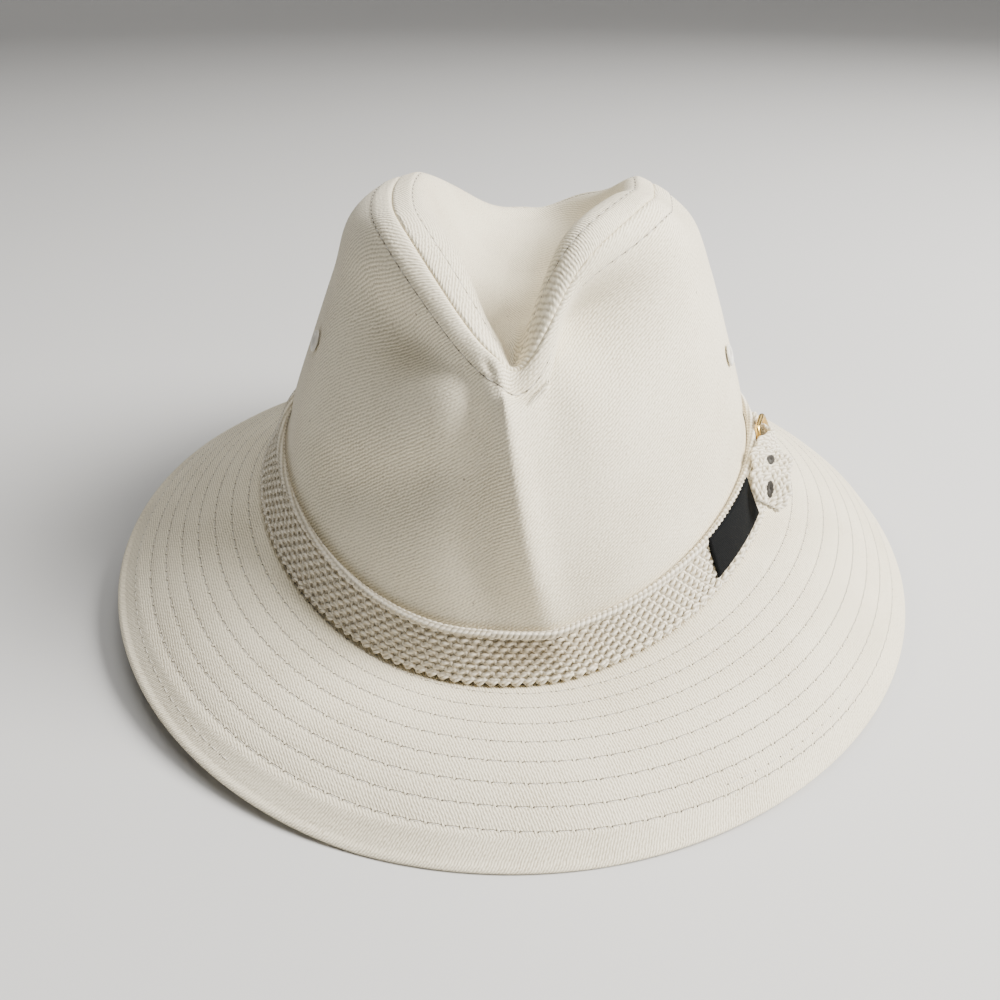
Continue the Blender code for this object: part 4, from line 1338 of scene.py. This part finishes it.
@dataclass
class Strap:
    """The knitted strap's loose end, with its two holes, and the buckle that it passes through.

    push_fade is the distance over which the yarns' parting round a hole fades across the
    strap. Each hole holds a dark cup of painted shadow; shadow_rings are the sizes and the lifts of a cup's
    rings, as shares of the hole and of the cloth, and shadow_stretch makes them longer and wider than the
    hole.
    """

    band: HatBand
    knit: Knit
    width: float = 13.0 * MM
    cloth: float = 2.0 * MM
    rise: float = 5.0 * MM
    slack: float = 2.0 * MM
    label_cloth: float = 0.9 * MM
    hole_length: float = 5.6 * MM
    hole_width: float = 2.6 * MM
    tip: float = 63.0
    holes: tuple[float, float] = (65.8, 72.5)
    end: float = 91.0
    twist: float = 50.0
    twist_turn: float = 7.0
    arch_turn: float = 3.4
    wire: float = 1.9 * MM
    buckle_length: float = 9.5 * MM
    buckle_centre: float = 84.5
    buckle_squareness: float = 0.4
    rows: int = 8
    yarn: float = 0.82 * MM
    sway: float = 0.30 * MM
    push_fade: float = 5.0 * MM
    points_along: int = 150
    layer_points: tuple[int, int] = (120, 40)
    wire_points: int = 144
    shadow_rings: tuple[tuple[float, float], ...] = ((1.05, 0.30), (1.0, 0.62), (0.6, 0.60), (0.05, 0.60))
    shadow_stretch: tuple[float, float] = (1.25, 1.15)
    shadow_sides: int = 24

    def half_turn(self) -> float:
        """Return half the buckle's length as a turn in degrees."""
        return 0.5 * math.degrees(self.buckle_length / self.band.form.mean_radius())

    def point(self, degrees: Array, side: Array, lift: Array | float = 0.0) -> Array:
        """Return points of the strap.

        Args:
            degrees: The azimuth in degrees.
            side: -0.5 at the strap's lower edge and 0.5 at its upper edge.
            lift: How far the point stands off the strap's inner face.

        Returns:
            The points.
        """
        bar = self.buckle_centre - self.half_turn()
        over_bar = (self.wire + 2.0 * GAP + self.slack) * np.exp(-((degrees - bar) / self.arch_turn) ** 2)
        easing = smooth_step(bar - degrees, 0.0, self.twist_turn)
        twist = math.radians(self.twist) * easing
        loose = np.clip((bar - degrees) / (bar - self.tip), 0.0, 1.0)
        middle = 0.5 * self.band.height + self.rise * np.sin(math.pi * loose)
        below_top = np.minimum(0.5 * self.width, (self.band.height - middle) / np.cos(twist))
        stand = np.maximum(over_bar, (self.label_cloth + GAP) * easing) + below_top * np.sin(twist)
        across = side * self.width
        share = (middle + across * np.cos(twist) + lift * np.sin(twist)) / self.band.height
        offset = GAP + stand - across * np.sin(twist) + lift * np.cos(twist)
        return self.band.point(np.radians(degrees), share, offset)

    def taper(self, degrees: Array) -> Array:
        """Return the strap's width at an azimuth as a share, rounded off at its tip."""
        from_tip = np.clip((degrees - self.tip) / 4.2, 0.0, 1.0)
        return np.sqrt(0.30 + 0.70 * from_tip)

    def build(self, yarn: Material) -> None:
        """Build the strap's rows of yarn, which part round each hole, and the layer under them."""
        degrees = np.linspace(self.tip, self.end, self.points_along)
        distance = np.radians(degrees - self.tip) * self.band.form.mean_radius()
        lines, normals = [], []
        for row in range(self.rows):
            side = (row + 0.5) / self.rows - 0.5
            wave = TURN * (distance / self.knit.pitch + 0.5 * (row % 2))
            sides = side * self.taper(degrees) + self.sway * np.sin(wave) / self.width
            for hole in self.holes:
                along = np.radians(degrees - hole) * self.band.form.half_length
                near = np.exp(-(along / (0.60 * self.hole_length)) ** 4)
                push = 0.5 * self.hole_width + 0.9 * self.yarn
                push = push * np.exp(-abs(side) * self.width / self.push_fade)
                sides = sides + math.copysign(1.0, side) * near * push / self.width
            lift = 0.45 * self.cloth + 0.6 * self.knit.swell * np.cos(wave)
            line = self.point(degrees, sides, lift)
            lines.append(line)
            normals.append(unit(self.point(degrees, sides, lift + MM) - line))
        rows = tubes("strap_knit_rows", np.stack(lines), np.stack(normals), self.yarn, 8)
        self.band.mark_painted_shade(rows)
        dress(rows, yarn, "knit", "band_strap")
        self.build_under(yarn)
        self.build_hole_shadows()

    def build_hole_shadows(self) -> None:
        """Build a dark cup at the foot of each hole, painted shadow for the dark seen through it."""
        dark = YarnFinish("hole_shadow", (0.022, 0.018, 0.013), (0.010, 0.008, 0.006),
                          0.6 * MM, 0.05 * MM).material()
        turn = TURN * np.arange(self.shadow_sides) / self.shadow_sides
        length = math.degrees(0.5 * self.hole_length / self.band.form.half_length)
        stretch, widen = self.shadow_stretch
        count = len(self.shadow_rings) + 1
        flat = np.stack(grid_corners(count, self.shadow_sides, True), -1).reshape(-1, 2) * 0.5 * MM
        for number, hole in enumerate(self.holes):
            middle = hole + 0.05 * length * np.cos(turn)
            rings = [self.point(middle, 0.01 * np.sin(turn), 0.30 * self.cloth)]
            for size, lift in self.shadow_rings:
                degrees = hole + stretch * size * length * np.cos(turn)
                side = 0.5 * size * self.hole_width * widen * np.sin(turn) / self.width
                rings.append(self.point(degrees, side, lift * self.cloth))
            piece = new_piece("strap_hole_lining_%d" % (number + 1), np.stack(rings),
                              ring_faces(count, self.shadow_sides, True).tolist())
            add_layer(piece, Layer.YARN, flat)
            dress(piece, dark, "knit")

    def build_under(self, yarn: Material) -> None:
        """Build the thin layer that closes the strap between its yarns, open at the holes."""
        columns, rows = self.layer_points
        degrees, side = np.meshgrid(np.linspace(self.tip + 0.5, self.end - 0.3, columns),
                                    np.linspace(-0.46, 0.46, rows), indexing="xy")
        points = self.point(degrees.ravel(), (side * self.taper(degrees)).ravel(), 0.32 * self.cloth)
        index = np.arange(rows * columns).reshape(rows, columns)
        centre_degrees, centre_side = (patch_corners(values).mean(-1) for values in (degrees, side))
        keep = np.ones_like(centre_side, bool)
        for hole in self.holes:
            along = np.radians(centre_degrees - hole) * self.band.form.half_length
            along = along / (0.5 * self.hole_length)
            across = centre_side * self.width / (0.5 * self.hole_width)
            keep &= along ** 2 + across ** 2 > 1.0
        quads = patch_corners(index)[keep]
        piece = new_piece("strap_layer", points, quads.tolist())
        flat = np.stack((np.radians(degrees) * self.band.form.half_length, side * self.width), -1)
        flat = flat.reshape(-1, 2)
        add_layer(piece, Layer.YARN, flat[quads.ravel()])
        self.band.mark_painted_shade(piece)
        solidify = piece.modifiers.new("thickness", "SOLIDIFY")
        solidify.thickness = 0.30 * self.cloth
        solidify.offset = 1.0
        dress(piece, yarn, "knit")

    def build_buckle(self) -> None:
        """Build the buckle: one loop of brass wire, under the strap in front and over it behind."""
        angle = TURN * np.arange(self.wire_points) / self.wire_points
        turn = np.sign(np.cos(angle)) * np.abs(np.cos(angle)) ** self.buckle_squareness
        rise = np.sign(np.sin(angle)) * np.abs(np.sin(angle)) ** self.buckle_squareness
        under = GAP + 0.5 * self.wire
        over = GAP + self.cloth + 2.0 * GAP + 0.5 * self.wire
        half = 0.5 * (self.width + 2.0 * GAP + 2.0 * self.wire) / self.band.height
        degrees = self.buckle_centre + turn * self.half_turn()
        offset = under + (over - under) * 0.5 * (1.0 + turn)
        line, inner = (self.band.point(np.radians(degrees), 0.5 + rise * half, stand)
                       for stand in (offset, offset - MM))
        piece = tubes("buckle_wire", line[None], unit(line - inner)[None], 0.5 * self.wire, 14, closed=True)
        finish = MetalFinish("buckle_brass", (0.80, 0.56, 0.20), (0.58, 0.38, 0.13), 0.24, 1.0)
        dress(piece, finish.material(), "brass", "band_buckle")


@dataclass
class Eyelet:
    """One turned ventilation eyelet in the crown's side."""

    name: str
    azimuth: float
    level: float
    flange: float = 3.5 * MM
    bore: float = 1.6 * MM
    wall: float = 0.5 * MM
    stand: float = 0.55 * MM
    curl: float = 0.90 * MM
    barrel: float = 1.6 * MM
    play: float = 0.15 * MM
    sides: int = 48

    def build(self, crown: Crown, enamel: Material) -> None:
        """Build the eyelet on the crown and cut the hole that it lines."""
        azimuth, level = np.array([math.radians(self.azimuth)]), np.array([self.level])
        centre = Vector(crown.form.outer(azimuth, level)[0])
        direction = Vector(crown.form.normals(crown.form.outer, azimuth, level)[0])
        crown.pierce(centre, direction, self.bore + self.wall + self.play)
        place = Matrix.Translation(centre) @ direction.to_track_quat("Z", "Y").to_matrix().to_4x4()
        lip = 0.5 * (self.flange - self.bore)
        arc = np.linspace(math.pi, 0.0, 15)
        rim = [(self.bore + lip + lip * math.cos(a), self.stand + self.curl * math.sin(a)) for a in arc]
        outside = self.bore + self.wall
        profile = [(self.bore, -self.barrel)] + rim + [(outside, self.stand), (outside, -self.barrel)]
        rings = turned_rings(*(np.array(values) for values in zip(*profile)), self.sides)
        turned = np.array([place @ Vector(point) for point in rings.reshape(-1, 3)])
        faces = ring_faces(len(profile), self.sides, True)[:, ::-1].tolist()
        piece = new_piece(self.name + "_ring", turned, faces)
        dress(piece, enamel, "eyelet_enamel", self.name)


@dataclass(frozen=True)
class Lamp:
    """A soft area light that looks at the hat."""

    name: str
    azimuth: float
    elevation: float
    distance: float
    size: float
    power: float
    colour: Colour

    def place(self, target: Vector) -> None:
        """Add the light to the scene."""
        lamp = bpy.data.lights.new(self.name, "AREA")
        lamp.shape = "DISK"
        lamp.size = self.size
        lamp.energy = self.power
        lamp.color = self.colour
        turn, rise = math.radians(self.azimuth), math.radians(self.elevation)
        away = Vector((math.sin(turn) * math.cos(rise), -math.cos(turn) * math.cos(rise), math.sin(rise)))
        holder = bpy.data.objects.new(self.name, lamp)
        holder.location = target + away * self.distance
        holder.rotation_euler = away.to_track_quat("Z", "Y").to_euler()
        bpy.context.scene.collection.objects.link(holder)


@dataclass
class Studio:
    """The plain pale floor, the soft lights and the camera at the photograph's angle."""

    focal_share: float = 0.9979
    sensor: float = 36.0
    elevation: float = 30.0
    distance: float = 375.6 * MM
    target: Vector = field(default_factory=lambda: Vector((-8.44, 0.0, 15.87)) * MM)
    yaw: float = 4.4
    side_shift: float = 2.9 * MM
    floor_reach: float = 2.2
    floor_bend: float = 2.0
    floor_sides: int = 96
    floor_drop: float = 0.2 * MM
    aim_height: float = 60.0 * MM
    lamps: tuple[Lamp, ...] = (
        Lamp("key_light", 82.0, 39.0, 1.5, 0.8, 78.0, (1.0, 0.97, 0.925)),
        Lamp("top_light", 100.0, 84.0, 1.8, 1.2, 15.0, (1.0, 0.985, 0.95)),
        Lamp("rim_light", 150.0, 40.0, 1.6, 1.0, 4.0, (1.0, 0.98, 0.95)),
    )

    def build(self) -> None:
        """Build the floor with its curved backdrop, the lights, the world and the camera."""
        self.build_floor()
        for lamp in self.lamps:
            lamp.place(Vector((0.0, 0.0, self.aim_height)))
        world = bpy.data.worlds.new("soft_sky")
        bpy.context.scene.world = world
        world.use_nodes = True
        sky = world.node_tree.nodes["Background"]
        sky.inputs["Color"].default_value = (1.0, 0.985, 0.96, 1.0)
        sky.inputs["Strength"].default_value = 0.12
        self.build_camera()

    def build_floor(self) -> None:
        """Build the pale floor, which curves up into a backdrop all round."""
        bend = np.linspace(0.0, 0.5 * math.pi, 16)
        reach = np.concatenate(([MM], self.floor_reach + self.floor_bend * np.sin(bend)))
        height = np.concatenate(([0.0], self.floor_bend * (1.0 - np.cos(bend)))) - self.floor_drop
        floor = new_piece("studio_floor", turned_rings(reach, height, self.floor_sides),
                          ring_faces(len(reach), self.floor_sides, False).tolist())
        graph = Graph("pale_floor", 0.75)
        vector = graph.node("ShaderNodeTexCoord").outputs["Object"]
        colour = graph.mix(graph.noise(vector, 3.0), (0.60, 0.60, 0.60), (0.63, 0.63, 0.625))
        floor.data.materials.append(graph.finish(colour, graph.noise(vector, 60.0), 0.05 * MM))
        floor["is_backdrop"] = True

    def build_camera(self) -> None:
        """Build the camera at the photograph's distance, height and angle."""
        data = bpy.data.cameras.new("photo_camera")
        data.sensor_width = self.sensor
        data.lens = self.focal_share * self.sensor
        data.clip_start = 0.01
        rise = math.radians(self.elevation)
        back = Vector((0.0, -math.cos(rise), math.sin(rise)))
        camera = bpy.data.objects.new("photo_camera", data)
        look = back.to_track_quat("Z", "Y").to_matrix().to_4x4()
        turn = Matrix.Rotation(math.radians(self.yaw), 4, "Z")
        place = Matrix.Translation(self.target + back * self.distance)
        camera.matrix_world = Matrix.Translation((self.side_shift, 0.0, 0.0)) @ turn @ place @ look
        bpy.context.scene.collection.objects.link(camera)
        bpy.context.scene.camera = camera


def write_sizes() -> None:
    """Gather the solids' box and the dressed hat's box as plain lists of numbers, which are then dropped.
    """
    boxes = {"cad": cad_box, "visual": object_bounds()}
    {name: [list(corner) for corner in box] for name, box in boxes.items()}


def main() -> None:
    """Dress the hat, piece by piece, and set the studio round it."""
    logging.basicConfig(level=logging.INFO, format="%(name)s %(message)s")
    form = CrownForm()
    knit = Knit()
    thread = Thread()
    # Painted shade: the yarn's dark colour is shade between its plies, and the last colour is a painted tan
    # shade on the band's shaded front.
    yarn = YarnFinish("knit_yarn", (0.90, 0.84, 0.70), (0.46, 0.40, 0.29), 2.2 * MM, 0.30 * MM,
                      painted_shade=(0.42, 0.34, 0.215)).material()
    crown = Crown(form, thread)
    crown.build()
    Brim(form, thread).build()
    band = HatBand(form, knit)
    band.build(yarn)
    Label(band).build()
    strap = Strap(band, knit)
    strap.build(yarn)
    strap.build_buckle()
    enamel = MetalFinish("eyelet_enamel", (0.78, 0.76, 0.70), (0.66, 0.63, 0.56), 0.38, 0.0).material()
    for eyelet in (Eyelet("eyelet_left", -68.0, 3.3), Eyelet("eyelet_right", 76.0, 3.0)):
        eyelet.build(crown, enamel)
    Studio().build()
    write_sizes()


if __name__ == "__main__":
    main()
